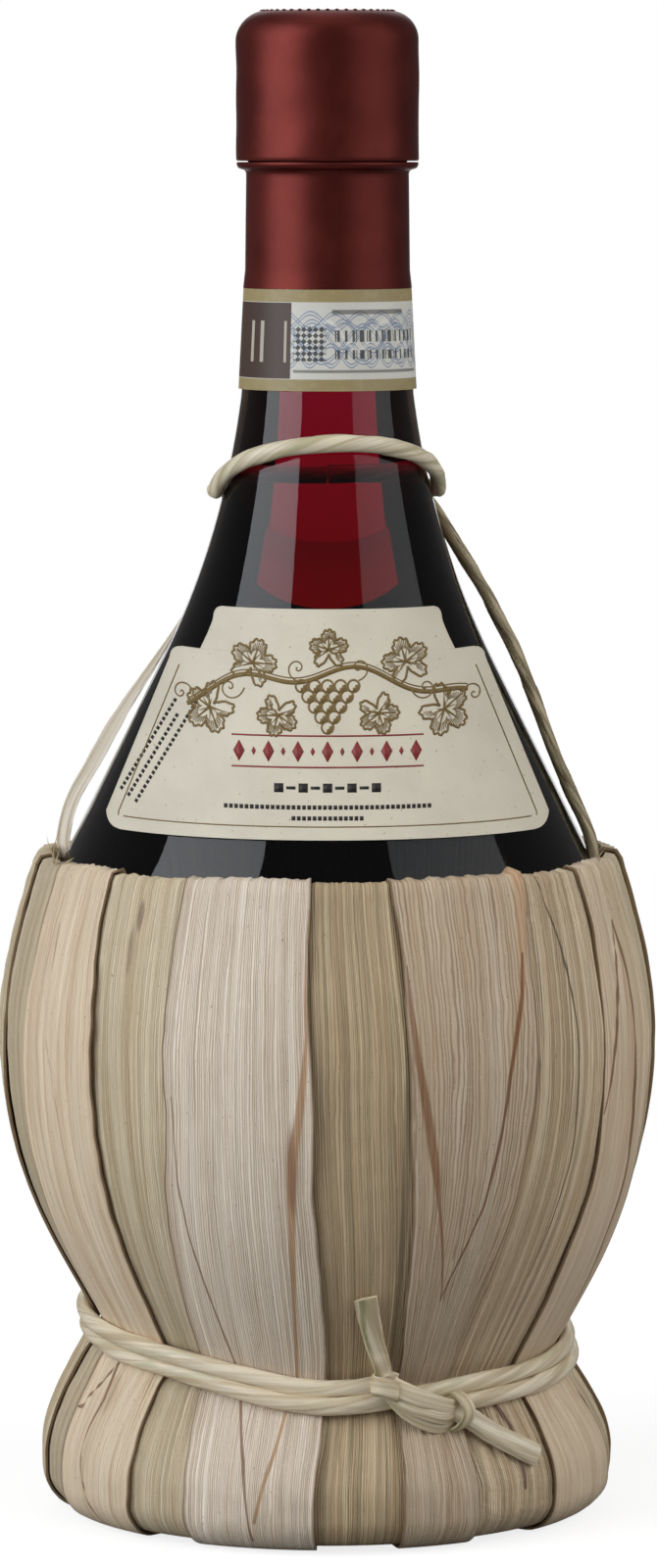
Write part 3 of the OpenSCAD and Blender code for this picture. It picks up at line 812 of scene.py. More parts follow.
def band_finish():
    """A printed neck band: gold hatched borders, a pale field of crossing blue waves, a brown
    block at the left, a lozenge check, and rows of plain bars."""
    m = material("printed_band")
    u, v, _ = m.pattern("Grain")
    across = u * (NECK_R * math.pi / 180)
    low = FOIL_END_Z - 0.15 - BAND_H
    high = low + BAND_H
    base, fibre = paper(m, across, v, shade(208, 206, 198), shade(150, 150, 140))
    lines = None
    for pitch, reach, lift, phase in (
        (11, 2.6, 9.6, 0), (11, 2.6, 9.6, 3.14), (7.3, 1.8, 6.2, 1.1), (7.3, 1.8, 6.2, 4.2),
        (15, 3.2, 8.2, 2.0), (15, 3.2, 8.2, 5.1), (9, 1.4, 12.2, 0.6), (9, 1.4, 12.2, 3.7),
    ):
        wave = (across * (2 * math.pi / pitch) + phase).sine() * reach + (low + lift)
        for shift in (-0.3, 0.3):
            near = 1 - (v - wave + shift).size().step(0.05, 0.15)
            lines = near if lines is None else lines.most(near)
    colour = m.blend(lines * 0.9, base, shade(98, 122, 156))
    scroll = (across * (2 * math.pi / 11) + 1.57).sine() * 2.6 + (low + 9.6)
    colour = m.blend((1 - (v - scroll).size().step(0.25, 0.4)) * 0.35, colour, shade(238, 237, 230))

    def block(left, right, bottom, top):
        """1 between two angles and two heights over the band's lower edge."""
        inside = u.over(left) * u.under(right)
        return inside * v.over(low + bottom) * v.under(low + top)

    brown = block(-90, -24.8, 2.15, 15.4)
    uprights = (across * 2.3).sine().over(0.5) * (across * 0.8 + 0.6).sine().over(-0.7)
    uprights = uprights * block(-74, -28, 5, 12.2)
    colour = m.blend(brown, colour, shade(66, 51, 43))
    colour = m.blend(uprights * 0.9, colour, shade(188, 180, 164))
    tilt_a = ((across + v) * 0.95).wrapped(0, 2).under(1)
    tilt_b = ((across - v) * 0.95).wrapped(0, 2).under(1)
    check = (tilt_a - tilt_b).size() * block(-22.8, -1, 5.2, 11.4)
    colour = m.blend(check * 0.9, colour, shade(40, 38, 36))
    bars = (across * 4.3).sine() + (across * 9.7 + 1).sine() * 0.8
    row = block(3, 78, 8.6, 10.6) + block(3, 78, 5.6, 7.2)
    colour = m.blend(bars.over(0.15) * row * 0.9, colour, shade(46, 44, 42))
    rule = block(3, 60, 13.4, 14.2) + block(-22.8, 78, 3.2, 3.7)
    colour = m.blend(rule * 0.7, colour, shade(70, 66, 60))
    edge = v.under(low + 2.05) + v.over(high - 2.2)
    weave = ((across * 9).sine() * (v * 12).sine()).step(-0.2, 0.5)
    gold = m.blend(weave, shade(146, 130, 90), shade(160, 145, 104))
    gold = m.blend(m.noise(m.vector(across, v), 0.6, 3).step(0.4, 0.8) * 0.4, gold, shade(176, 163, 124))
    colour = m.blend(edge.least(1), colour, gold)
    m.surface(Base_Color=colour, Roughness=fibre * 0.15 + 0.4, Normal=m.bump(fibre, 0.04, 0.5))
    return m.owner


def ribs_of(m, x, y, pitch, wave):
    """A husk's fibres: fine ribs side by side from 0 in the groove to 1 on the back, with their
    spacing and course drawn along by slow noise, and a hair-fine noise along them."""
    drift = m.noise(m.vector(x * 0.55, y * 0.012), 1, 2, 0.5)
    sway = m.noise(m.vector(x * 0.3, y * 0.13), 1, 2, 0.5)
    phase = x * (2 * math.pi / pitch) + drift * 24 + sway * wave
    hair = m.noise(m.vector(x * 7.5, y * 0.22), 1, 2, 0.6)
    return phase.sine() * 0.5 + 0.5, hair


def grain_of(m, x, y):
    """Four noises along a husk's fibres: hair-fine ribs, ribs, broad stripes and clouds."""
    place = m.vector(x, y * 0.045)
    hair = m.noise(place, 3.1, 3, 0.6)
    ribs = m.noise(place, 1.15, 3, 0.55)
    stripes = m.noise(m.vector(x, y * 0.03), 0.36, 3, 0.55)
    clouds = m.noise(m.vector(x, y * 0.45), 0.075, 4, 0.6)
    return hair, ribs, stripes, clouds


def husk_finish(name, look, veins=(), stains=()):
    """A dried husk. Broad bands of two tones run along it, with tan and pale streaks, fine ribs
    whose grooves are darkened as painted shade, a few thin dark lines between them that are
    painted shade too, short pale cross ticks, specks and clouds. It is browned along its edges,
    and a thin darker rim at the very edge is painted shade. Brown veins run where it split, and
    on some strips veins carry painted shade instead, beside a neighbour's edge and in a fold.
    A vein is a list of height, share of the width and half its own width in millimetres, with
    its strength and tone. Between two heights it may be as glossy as film and crinkled."""
    m = material(name)
    x, y, _ = m.pattern("Grain")
    u, z, _ = m.pattern("Place")
    tone, second, groove, streak = (shade(*colour) for colour in look["tones"])
    rib, hair = ribs_of(m, x, y, look.get("pitch", 0.42), look.get("wave", 5))
    bands = m.noise(m.vector(x * 0.62, y * 0.006), 1, 3, 0.6)
    patches = m.noise(m.vector(x * 0.9 + 40, y * 0.02), 1, 2, 0.5)
    clouds = m.noise(m.vector(x * 0.09, y * 0.05), 1, 3, 0.6)
    colour = m.blend(bands.step(0.42, 0.58), second, tone)
    colour = m.blend(clouds.step(0.4, 0.75) * 0.45, colour, second)
    tan = m.noise(m.vector(x * 0.42 + 120, y * 0.016), 1, 3, 0.6).step(0.48, 0.66)
    colour = m.blend(tan * look.get("tan", 0.35), colour, shade(178, 140, 98))
    pale = m.noise(m.vector(x * 1.5 + 80, y * 0.01), 1, 2, 0.5).step(0.54, 0.68)
    colour = m.blend(pale * look.get("streaks", 0.5), colour, streak)
    # Darker rib grooves, stronger in patches: painted shade in the recesses that the bump also makes.
    depth = patches.step(0.3, 0.62) * 0.75 + 0.25
    colour = m.blend((1 - rib.step(0.0, 0.62)) * depth * look.get("ribs", 0.6), colour, groove)
    colour = m.blend(hair.step(0.5, 0.8) * 0.3, colour, dim(streak, 1.1))
    # Thin dark lines between the ribs, also sunk in the height below: painted shade.
    lines = m.noise(m.vector(x * 3.1 + 17, y * 0.018), 1, 2, 0.55).step(0.64, 0.72)
    colour = m.blend(lines * look.get("lines", 0.4), colour, dim(groove, 0.6))
    ticks = m.noise(m.vector(x * 0.9, y * 4.2), 1, 2, 0.6).step(0.62, 0.74)
    colour = m.blend(ticks * look.get("ticks", 0.25), colour, dim(streak, 1.12))
    specks = m.noise(m.vector(x * 2.3, y * 0.9), 1, 1, 0.5).step(0.74, 0.79)
    colour = m.blend(specks * 0.65, colour, shade(92, 72, 50))
    edge = u.size().step(0.945, 0.99)
    colour = m.blend(edge * look.get("edge", 0.5), colour, shade(142, 106, 68))
    # A thin darker rim at the very edges, where a strip meets its neighbour: painted shade.
    colour = m.blend(u.size().step(0.968, 0.995) * 0.55, colour, shade(92, 68, 42))
    dark = None
    for points, reach, brown in veins:
        centre = m.line(z, 0, 125, [(p[0], p[1]) for p in points])
        half = m.line(z, 0, 125, [(p[0], p[2] * look["vein_scale"]) for p in points])
        near = (u - centre + (patches - 0.5) * 0.03).size() / half.most(0.002)
        lowest, highest = min(p[0] for p in points), max(p[0] for p in points)
        near = (1 - near.step(0.5, 1.1)) * z.over(lowest) * z.under(highest)
        near = near * (hair * 0.4 + 0.78).least(1) * reach
        colour = m.blend(near, colour, brown)
        dark = near if dark is None else dark.most(near)
    for centre_u, centre_z, half_u, half_z, share, brown in stains:
        far = ((u - centre_u) / half_u) ** 2 + ((z - centre_z) / half_z) ** 2
        blot = (1 - far.step(0.2, 1.0)) * (patches.step(0.3, 0.55) * 0.7 + 0.3) * share
        colour = m.blend(blot, colour, brown)
    height = rib * 0.55 + hair * 0.2 + bands * 0.5 - lines * 0.3
    if dark is not None:
        height = height - dark * 0.5
    rough = look.get("gloss", 0.55) + (hair - 0.5) * 0.25
    for low, high in look.get("film", ()):
        film = z.step(low - 3, low + 3) * (1 - z.step(high - 3, high + 3))
        crinkle = m.noise(m.vector(x * 0.55, y * 0.9), 1, 3, 0.6)
        rough = rough - film * 0.3
        height = height + film * crinkle * 2.2
    m.surface(
        Base_Color=colour, Roughness=rough, Specular_IOR_Level=0.4, Normal=m.bump(height, 0.18, 0.9),
    )
    return m.owner


def cord_finish(name, tone, shadow, green, gloss=0.3, turn=0.17, share=0.5, streak=None):
    """A rolled husk: fibres that follow the roll, thin brown lines, green patches, and perhaps a
    green streak that stays near one place across."""
    m = material(name)
    x, y, _ = m.pattern("Grain")
    across = x - y * turn
    rib, hair = ribs_of(m, across, y, 0.36, 4)
    broad = m.noise(m.vector(across * 0.9, y * 0.02), 1, 3, 0.55)
    patch = m.noise(m.vector(across * 0.45, y * 0.07), 1, 2, 0.5)
    colour = m.blend(broad.step(0.36, 0.6), shadow, tone)
    colour = m.blend((1 - rib.step(0.0, 0.5)) * 0.22, colour, shadow)
    colour = m.blend(hair.step(0.55, 0.8) * 0.3, colour, dim(tone, 1.12))
    lines = m.noise(m.vector(across * 2.6 + 9, y * 0.02), 1, 2, 0.5).step(0.66, 0.72)
    colour = m.blend(lines * 0.45, colour, dim(shadow, 0.6))
    colour = m.blend(patch.step(0.53, 0.63) * broad.step(0.35, 0.6) * share, colour, green)
    if streak is not None:
        wander = m.noise(m.vector(y * 0.16, 3), 1, 2, 0.5) * 1.6 - 0.8
        line = 1 - (x - wander - streak).size().step(0.1, 0.6)
        colour = m.blend(line * patch.step(0.38, 0.54) * 0.75, colour, dim(green, 0.75))
    crinkle = m.noise(m.vector(across * 0.8, y * 0.5), 1, 3, 0.6)
    m.surface(
        Base_Color=colour, Roughness=hair * 0.16 + gloss, Specular_IOR_Level=0.6,
        Normal=m.bump(hair * 0.2 + rib * 0.15 + broad * 0.5 + crinkle * 0.4, 0.12, 0.8),
    )
    return m.owner


# Cords first
def loop_line():
    """The neck loop's middle: a ring on the glass, flat behind and raised in front by a power of
    the cosine, open by a few degrees at the back."""
    az = np.linspace(180 + (360 - LOOP_ARC) / 2, 180 + (360 + LOOP_ARC) / 2, 240)
    rise = np.maximum(0, np.cos(np.radians(az - LOOP_TURN))) ** 0.7
    z = LOOP_BACK_Z + LOOP_RISE * rise
    r = flask_r(z - LOOP_D / 4) + (LOOP_D * 0.45 + 0.1) / math.cos(math.radians(15))
    return even(polar(az, r, z), 0.8)


def away_from_axis(path):
    """Directions square to the axis, through each point."""
    return path * [1, 1, 0]


def add_cords():
    """The loop round the neck and the cord that runs from it down into the rim."""
    path = loop_line()
    part = sweep(path, away_from_axis(path), LOOP_D * 1.06, LOOP_D * 0.9, 32, rolled(25, 0.09, 3))
    finish = cord_finish(
        "neck_raffia", shade(224, 213, 188), shade(184, 170, 138), shade(142, 148, 92), 0.26, 0.37, 0.7,
    )
    made = piece("cord_neck_loop", part, "bottle", finish, ["neck_loop"])
    path = spline(HANDLE_CORD, 0.8)
    part = sweep(path, away_from_axis(path), HANDLE_D * 1.12, HANDLE_D * 1.0, 28, rolled(30, 0.12, 8))
    finish = cord_finish(
        "handle_raffia", shade(188, 172, 138), shade(112, 98, 70), shade(126, 124, 76), 0.3, 0.25, 0.7,
    )
    made = piece("cord_handle", part, "bottle", finish, ["handle_cord"])


# Glass, wine, cork and capsule
def add_flask():
    """The glass from its bottom over the lip and down the inside, with the wine in it. The glass
    is marked where the wine wets it."""
    lip = [[NECK_MID_R, FOIL_END_Z], [NECK_TOP_R, LIP_Z - 1.7], [LIP_R, LIP_Z]]
    outer = np.concatenate([
        FLASK_LINE, lip, arc([LIP_R - LIP_ROUND, FLASK_H - LIP_ROUND], LIP_ROUND, 0, 90, 14),
        arc([BORE_R + 0.6, FLASK_H - 0.6], 0.6, 90, 180, 6),
    ])
    inner = flask_line(WALL, BOTTOM_Z + BOTTOM_WALL, NECK_WALL)
    level_r = np.interp(WINE_Z, [NECK_Z, FLASK_H - BORE_L], [NECK_R - NECK_WALL, BORE_R])
    bore = [[BORE_R, FLASK_H - BORE_L], [level_r, WINE_Z + 0.01], [level_r, WINE_Z]]
    line = np.concatenate([outer, bore, inner[::-1]])
    wet = (np.arange(len(line)) > len(outer) + 1).astype(float)
    piece("glass", lathe(line, 256, wet), "bottle", glass_finish(), ["glass_flask"], 40)
    body = flask_line(WALL - WINE_LAP, BOTTOM_Z + BOTTOM_WALL - WINE_LAP, NECK_WALL - WINE_LAP)
    line = np.concatenate([body, [[level_r + WINE_LAP, WINE_Z], [0, WINE_Z]]])
    piece("wine_fill", lathe(line, 192), "bottle", wine_finish(), ["wine"], 40)


def add_capsule():
    """The cap and the skirt of the foil, with a ring of small embossed dots on the cap."""
    foil = foil_finish()
    corner = [LIP_R - LIP_ROUND, FLASK_H - LIP_ROUND]
    cap_r = LIP_R + CAP_GAP + CAP_T
    end = LIP_Z - 1.3
    top = FLASK_H + CAP_GAP + CAP_T
    rounding = LIP_ROUND + CAP_GAP
    wall = np.linspace([cap_r, end + 0.3], [cap_r, corner[1]], 40)[:-1]
    flat = np.linspace([corner[0], top], [0, top], 16)[1:]
    line = np.concatenate([
        [[cap_r - 0.15, end]], wall, arc(corner, rounding + CAP_T, 0, 90, 16), flat,
    ])
    under = np.concatenate([
        [[0, top - CAP_T]], arc(corner, rounding, 90, 0, 16), [[cap_r - CAP_T, end]],
    ])
    line = np.concatenate([line[::-1], under[::-1]])
    part = lathe(line, 192)
    p = part["points"]
    r = np.hypot(p[:, 0], p[:, 1])
    az = np.degrees(np.arctan2(p[:, 0], -p[:, 1]))
    wear = ripple(az, p[:, 2], 70, 14, 5) * 0.10 * smooth((r - 8) / 6)
    p[:, 0] += wear * p[:, 0] / np.maximum(r, 1)
    p[:, 1] += wear * p[:, 1] / np.maximum(r, 1)
    piece("capsule_cap", part, "cap", foil, ["capsule_top"], 50)
    dots = 44
    domes = []
    for i in range(dots):
        at = polar(i * 360 / dots, 11.6, top + 0.02)
        a = np.radians(np.arange(8) * 45)
        ring = np.stack([np.cos(a) * 0.42, np.sin(a) * 0.42, np.zeros(8)], -1) + at
        tip = at + [0, 0, 0.16]
        low = at - [0, 0, 0.2]
        rows = np.concatenate([ring, [tip, low]])
        j = np.arange(8)
        up = np.stack([j, (j + 1) % 8, np.full(8, 8)], -1)
        down = np.stack([(j + 1) % 8, j, np.full(8, 9)], -1)
        faces = np.concatenate([up, down])
        domes.append(outward(shape(rows, [faces], [rows[faces][..., :2]])))
    piece("capsule_cap_dots", joined(domes), "cap", foil)
    top = end - TEAR_GAP
    in_z = LIP_Z - 3.6
    flare = 0.35
    r_top = NECK_TOP_R + SKIRT_GAP
    r_end = NECK_MID_R + SKIRT_GAP
    outside = np.concatenate([
        [[cap_r - 0.12, top]], [[cap_r - 0.05, top - 0.3]],
        curve([cap_r - 0.1, top - 0.5], [cap_r - 0.3, top - 1.6], [r_top + SKIRT_T + 0.1, in_z + 1.2],
              [r_top + SKIRT_T, in_z], 8),
        np.linspace([r_top + SKIRT_T, in_z], [r_end + SKIRT_T, FOIL_END_Z + 3], 24)[1:],
        [[r_end + SKIRT_T + flare, FOIL_END_Z - 0.1]],
    ])
    inside = [[r_end + flare, FOIL_END_Z - 0.1], [r_end, FOIL_END_Z + 3], [r_top, in_z],
              [cap_r - CAP_T, top]]
    part = lathe(np.concatenate([outside, inside]), 192)
    piece("capsule_sleeve", part, "bottle", foil, ["capsule_skirt"], 50)


# Papers
def add_band():
    """The paper band round the neck, a thin sleeve under the foil."""
    z0 = FOIL_END_Z - 0.15 - BAND_H
    r0 = NECK_R + 2 * PAPER_GAP
    r1 = NECK_MID_R + 0.6
    outside = np.linspace([r0 + PAPER_T, z0], [r1 + PAPER_T, z0 + BAND_H], 24)
    inside = np.linspace([r1, z0 + BAND_H], [r0, z0], 4)
    part = lathe(np.concatenate([outside, inside]), 160)
    piece("paper_band", part, "bottle", band_finish(), ["neck_band"], 50)


def on_label(x, h, lift):
    """Points on the shoulder, seen from the front at x and a height over the label's lower edge,
    at a lift over the glass."""
    z = LABEL_Z + h
    r = flask_r(z) + lift / math.cos(math.atan(SHOULDER_SLOPE))
    x, r, z = np.broadcast_arrays(x, r, z)
    return np.stack([x, -np.sqrt(r * r - x * x), z], -1)


def label_half(h):
    """Half the label's width at a height: rounded lower corners, straight slanted sides, round
    ears, and a narrower head with hollow corners."""
    half = LABEL_W / 2
    ear = LABEL_EAR_W / 2
    head = LABEL_TOP_W / 2
    top = LABEL_H
    corner = 2.6
    low = half - corner + np.sqrt(np.clip(corner ** 2 - (corner - h) ** 2, 0, None)) - h * 0.02
    side = mix(half, ear, (h - corner) / (top - 9.4 - corner))
    ear_round = ear - 2.4 * (1 - np.sqrt(np.clip(1 - ((h - (top - 9.4)) / 2) ** 2, 0, 1)))
    hollow = head + 1 + 2.3 * np.clip((top - 2 - h) / 5.4, 0, 1) ** 1.2
    crown = head + 1 - 1.4 * (1 - np.sqrt(np.clip(1 - ((h - (top - 2)) / 2) ** 2, 0, 1)))
    wide = np.where(h < corner, low, side)
    wide = np.where(h > top - 9.4, ear_round, wide)
    wide = np.where(h > top - 7.4, hollow, wide)
    return np.where(h > top - 2, crown, wide)


def ink_line(points, width):
    """A printed line: a thin raised ribbon along points on the label."""
    p = np.array(points, float)
    heading = unit(np.gradient(p, axis=0))
    side = np.stack([-heading[:, 1], heading[:, 0]], -1) * np.reshape(width, (-1, 1)) / 2
    edges = np.stack([p - side, p + side], 1)
    lift = PAPER_GAP + PAPER_T
    top = on_label(edges[..., 0], edges[..., 1], lift + 0.03)
    low = on_label(edges[..., 0], edges[..., 1], lift - 0.02)
    return slab(top, low, edges)


def ink_spot(x, h, r):
    """A printed dot: a thin raised disc on the label."""
    return ink_line([[x - r * 0.8, h], [x, h], [x + r * 0.8, h]], np.array([r, 2 * r, r]))


def leaf(x, h, size, turn):
    """A vine leaf in line: its outline has five lobes with small teeth, and five veins."""
    a = np.linspace(-np.pi, np.pi, 90)
    r = 0.42 + 0.5 * np.abs(np.cos(2.5 * a)) ** 0.55 + 0.05 * np.sin(24 * a)
    r = r * mix(1, 0.45, smooth((np.abs(a) - 2.5) / 0.6))
    turn = math.radians(turn)
    edge = np.stack([x + size * r * np.sin(a + turn), h + size * r * np.cos(a + turn)], -1)
    lines = [ink_line(edge, 0.42)]
    for way in np.linspace(-2.3, 2.3, 47):
        reach = 0.42 + 0.5 * abs(math.cos(2.5 * way)) ** 0.55
        t = np.linspace(reach * 0.55, reach * 0.9, 3) * size
        w = way + turn + 0.1
        lines.append(ink_line(np.stack([x + t * np.sin(w), h + t * np.cos(w)], -1), 0.15))
    for way in (-2.2, -1.26, 0, 1.26, 2.2):
        far = 0.8 if abs(way) < 2 else 0.5
        for share, wide in ((1.0, 0.42), (0.6, 0.28)):
            bend = 0.0 if share == 1 else 0.35
            t = np.linspace(0, far * share, 8)
            w = way + bend * t + (0.22 if share != 1 else 0)
            vein = np.stack([x + size * t * np.sin(w + turn), h + size * t * np.cos(w + turn)], -1)
            lines.append(ink_line(vein, wide * (1.1 - np.linspace(0, 0.8, 8))))
    return lines


def tendril(x, h, size, turn, way):
    """A curled tendril: a spiral that closes as it goes."""
    t = np.linspace(0, 1, 50)
    a = math.radians(turn) + way * 9.5 * t ** 1.4
    r = size * (1 - t) ** 1.2
    return ink_line(np.stack([x + r * np.sin(a), h + r * np.cos(a)], -1), 0.25)


def add_label():
    """The label and its plain print: a fruiting vine in ochre, a red row of lozenges, black rules
    under it and small slanted rules at its left side."""
    h = np.concatenate([
        np.linspace(0, 2.6, 12), np.linspace(2.6, LABEL_H - 9.4, 40)[1:],
        np.linspace(LABEL_H - 9.4, LABEL_H - 7.41, 10)[1:], np.linspace(LABEL_H - 7.39, LABEL_H, 28),
    ])[:, None]
    x = np.linspace(-1, 1, 121)[None, :] * label_half(h)
    h = np.broadcast_to(h, x.shape)
    curl = 0.12 * smooth((np.abs(x) - label_half(h) + 2) / 2) + 0.03 * ripple(x, h, 30, 22, 4)
    top = on_label(x, h, PAPER_GAP + PAPER_T + 0 * curl)
    low = on_label(x, h, PAPER_GAP + 0 * curl)
    part = slab(top, low, np.stack([x, h], -1))
    piece("paper_label", part, "bottle", label_finish(), ["front_label"], 50)
    lines = []
    t = np.linspace(-1, 1, 80)
    vine = np.stack([t * 24.5, 27.6 + 1.3 * np.sin(t * 7.5) - 4.6 * t * t], -1)
    lines.append(ink_line(vine, 0.75))
    lines.append(ink_line(vine + [0, 0.75], 0.22))
    for x0, h0, size, turn in (
        (-20.5, 21.5, 4.6, -130), (-13, 29.2, 4.4, 20), (-8.6, 20.6, 3.8, -165), (13.6, 29.4, 4.4, -18),
        (20.3, 21.2, 4.7, 125), (8.8, 20.9, 3.8, 160), (0.2, 31.6, 3.6, 0),
    ):
        lines += leaf(x0, h0, size, turn)
    for row, count in enumerate((5, 4, 3, 2, 1)):
        for i in range(count):
            x0 = (i - (count - 1) / 2) * 2.25
            h0 = 25.5 - row * 1.72
            a = np.linspace(0, 2 * np.pi, 20)
            lines.append(ink_line(np.stack([x0 + 1.02 * np.sin(a), h0 + 1.02 * np.cos(a)], -1), 0.36))
            shine = np.linspace(1.2, 3.4, 7)
            lines.append(ink_line(np.stack([x0 + 0.6 * np.sin(shine), h0 + 0.6 * np.cos(shine)], -1), 0.62))
    for x0, h0, size, turn, way in (
        (-17, 25, 2.6, 90, 1), (17, 25, 2.6, -90, -1), (-25.6, 23.6, 2.2, 90, -1), (25.6, 23.4, 2.2, -90, 1),
        (-5.2, 28.5, 2.2, 180, 1), (5.4, 28.6, 2.2, 180, -1),
    ):
        lines.append(tendril(x0, h0, size, turn, way))
    inset = 2.2
    rows = np.linspace(inset, LABEL_H - 10.4, 40)
    for way in (-1, 1):
        side = np.stack([way * (label_half(rows) - inset), rows], -1)
        lines.append(ink_line(side, 0.2))
    foot = np.linspace(-1, 1, 80)[:, None] * [LABEL_W / 2 - 3.2, 0] + [0, inset]
    lines.append(ink_line(foot, 0.2))
    ochre = ink_finish("ochre_ink", shade(116, 94, 50), 0.5)
    piece("label_print_vine", joined(lines), "bottle", ochre)
    red = ink_finish("red_ink", shade(132, 44, 44), 0.45)
    marks = []
    for i in range(13):
        x0 = (i - 6) * 2.55
        big = 1.75 if i % 2 == 0 else 0.7
        marks.append(ink_line([[x0, 14.6 - big], [x0, 14.6], [x0, 14.6 + big]], np.array([0.05, big * 1.15, 0.05])))
    for level in (12, 17.2):
        span = np.linspace(-16.6, 16.6, 60)
        marks.append(ink_line(np.stack([span, np.full(60, level)], -1), 0.28))
    piece("label_print_row", joined(marks), "bottle", red)
    black = ink_finish("black_ink", shade(36, 32, 29), 0.5)
    rules = []
    for i in range(9):
        x0 = (i - 4) * 2.1
        rules.append(ink_line(np.array([[x0 - 0.8, 8.6], [x0 + 0.8, 8.6]]), 1.5 if i % 2 == 0 else 0.5))
    for level, reach in ((5.4, 18), (3.6, 6.5)):
        for i in range(int(reach / 0.9)):
            for way in (-1, 1):
                x0 = way * (0.45 + 0.9 * i)
                rules.append(ink_line(np.array([[x0 - 0.32, level], [x0 + 0.32, level]]), 0.7))
    slant = unit(np.array([[11.4, 18.8]]))[0]
    across = np.array([slant[1], -slant[0]])
    for offset, share in ((0, 0.9), (1.6, 0.78), (3.2, 0.98)):
        base = np.array([-36.2, 6.4]) + across * offset
        for i in range(int(22 * share / 0.95)):
            start = base + slant * (i * 0.95)
            rules.append(ink_line(np.array([start, start + slant * 0.6]), 0.55))
    piece("label_print_rules", joined(rules), "bottle", black)


# The basket of husk strips
def husk_line():
    """The line that the strips lie on, in the half plane: down the inner leg, over the hoop, down
    the belly, through the waist, round the foot, flat underneath and up inside, with its
    normals on the side away from the hoop and the ring."""
    fold_in = HOOP_R + 0.35
    fold_z = RIM_Z - STACK - fold_in
    centre_r = flask_r(fold_z) + RIM_GAP + STACK + fold_in
    basket = BASKET_R - STACK
    waist = WAIST_R - STACK
    foot = FOOT_R - STACK
    tuck = FOOT_IN_R + STACK
    legs = np.linspace(fold_z - FOLD_L, fold_z, 6)[:-1]
    line = np.concatenate([
        np.stack([flask_r(legs) + RIM_GAP + STACK, legs], -1),
        arc([centre_r, fold_z], fold_in, 180, 0, 16),
        curve([centre_r + fold_in, fold_z], [centre_r + fold_in + 1.7, fold_z - 6],
              [basket, BASKET_Z + 12], [basket, BASKET_Z], 40)[1:],
        curve([basket, BASKET_Z], [basket, BASKET_Z - 27],
              [waist + 7.5, WAIST_Z + 15], [waist + 0.6, WAIST_Z + WAIST_HALF], 60)[1:],
        curve([waist + 0.6, WAIST_Z + WAIST_HALF], [waist, WAIST_Z + 0.6],
              [waist, WAIST_Z - 0.6], [waist + 0.6, WAIST_Z - WAIST_HALF], 8)[1:],
        curve([waist + 0.6, WAIST_Z - WAIST_HALF], [waist + 3.4, WAIST_Z - 8],
              [foot, FOOT_Z + 7], [foot, FOOT_Z], 30)[1:],
        arc([foot - 5, STACK + 5], 5, 0, -90, 14),
        arc([tuck + 2.5, STACK + 2.5], 2.5, 270, 180, 8),
        [[tuck, TUCK_H]],
    ])
    line = even(line, 0.85)
    heading = unit(np.gradient(line, axis=0))
    return line, np.stack([-heading[:, 1], heading[:, 0]], -1)


LINE, NORMAL = husk_line()
ALONG = travel(LINE)
TOP_ROW = int(np.argmax(LINE[:, 1]))
FOLD_Z = RIM_Z - STACK - HOOP_R - 0.35


def dipped(z, az):
    """A height shifted as the tied waist is: most at the waist, not at all at table and rim."""
    share = np.where(z < WAIST_Z, smooth(z / WAIST_Z), 1 - smooth((z - WAIST_Z) / (RIM_Z - WAIST_Z)))
    return z - share * (DIP_FRONT * np.cos(np.radians(az)) + DIP_RIGHT * np.sin(np.radians(az)))


def slump(az):
    """How far the tie sags below the waist in front: a bell round the angle 0."""
    turned = (az + 180) % 360 - 180
    return 2.9 * np.exp(-((turned + 2) / 23) ** 2)


def station(z):
    """Where along a strip a height lies: 0 rim, 1 belly, 2 waist, 3 foot."""
    upper = (FOLD_Z - z) / (FOLD_Z - BASKET_Z)
    middle = 1 + (BASKET_Z - z) / (BASKET_Z - WAIST_Z)
    lower = 2 + (WAIST_Z - z) / (WAIST_Z - FOOT_Z)
    return np.where(z > BASKET_Z, np.clip(upper, 0, 1), np.where(z > WAIST_Z, middle, np.clip(lower, 2, 3)))


def outer_span(k):
    """Middle angle and half width of an outer strip at every point of the line."""
    mid, lean, rim, belly, waist, foot = OUTER[k % len(OUTER)]
    z = np.where(np.arange(len(LINE)) < TOP_ROW, FOLD_Z, LINE[:, 1])
    s = station(z)
    middle = mid + lean * smooth(s - 1)
    half = mix(mix(mix(rim, belly, smooth(s)), waist, smooth(s - 1)), foot, smooth(s - 2))
    return middle, half


def strip_span(number):
    """Left and right angles of a strip. Odd strips lie outside, and an even one reaches under
    the edges of its two neighbours."""
    k = (number - 1) // 2
    middle, half = outer_span(k)
    if number % 2:
        return middle - half, middle + half
    following, other = outer_span(k + 1)
    turn = 360 if k + 1 == len(OUTER) else 0
    left = middle + np.maximum(UNDER_REST, half - UNDER_LAP)
    return left, following + turn - np.maximum(UNDER_REST, other - UNDER_LAP)


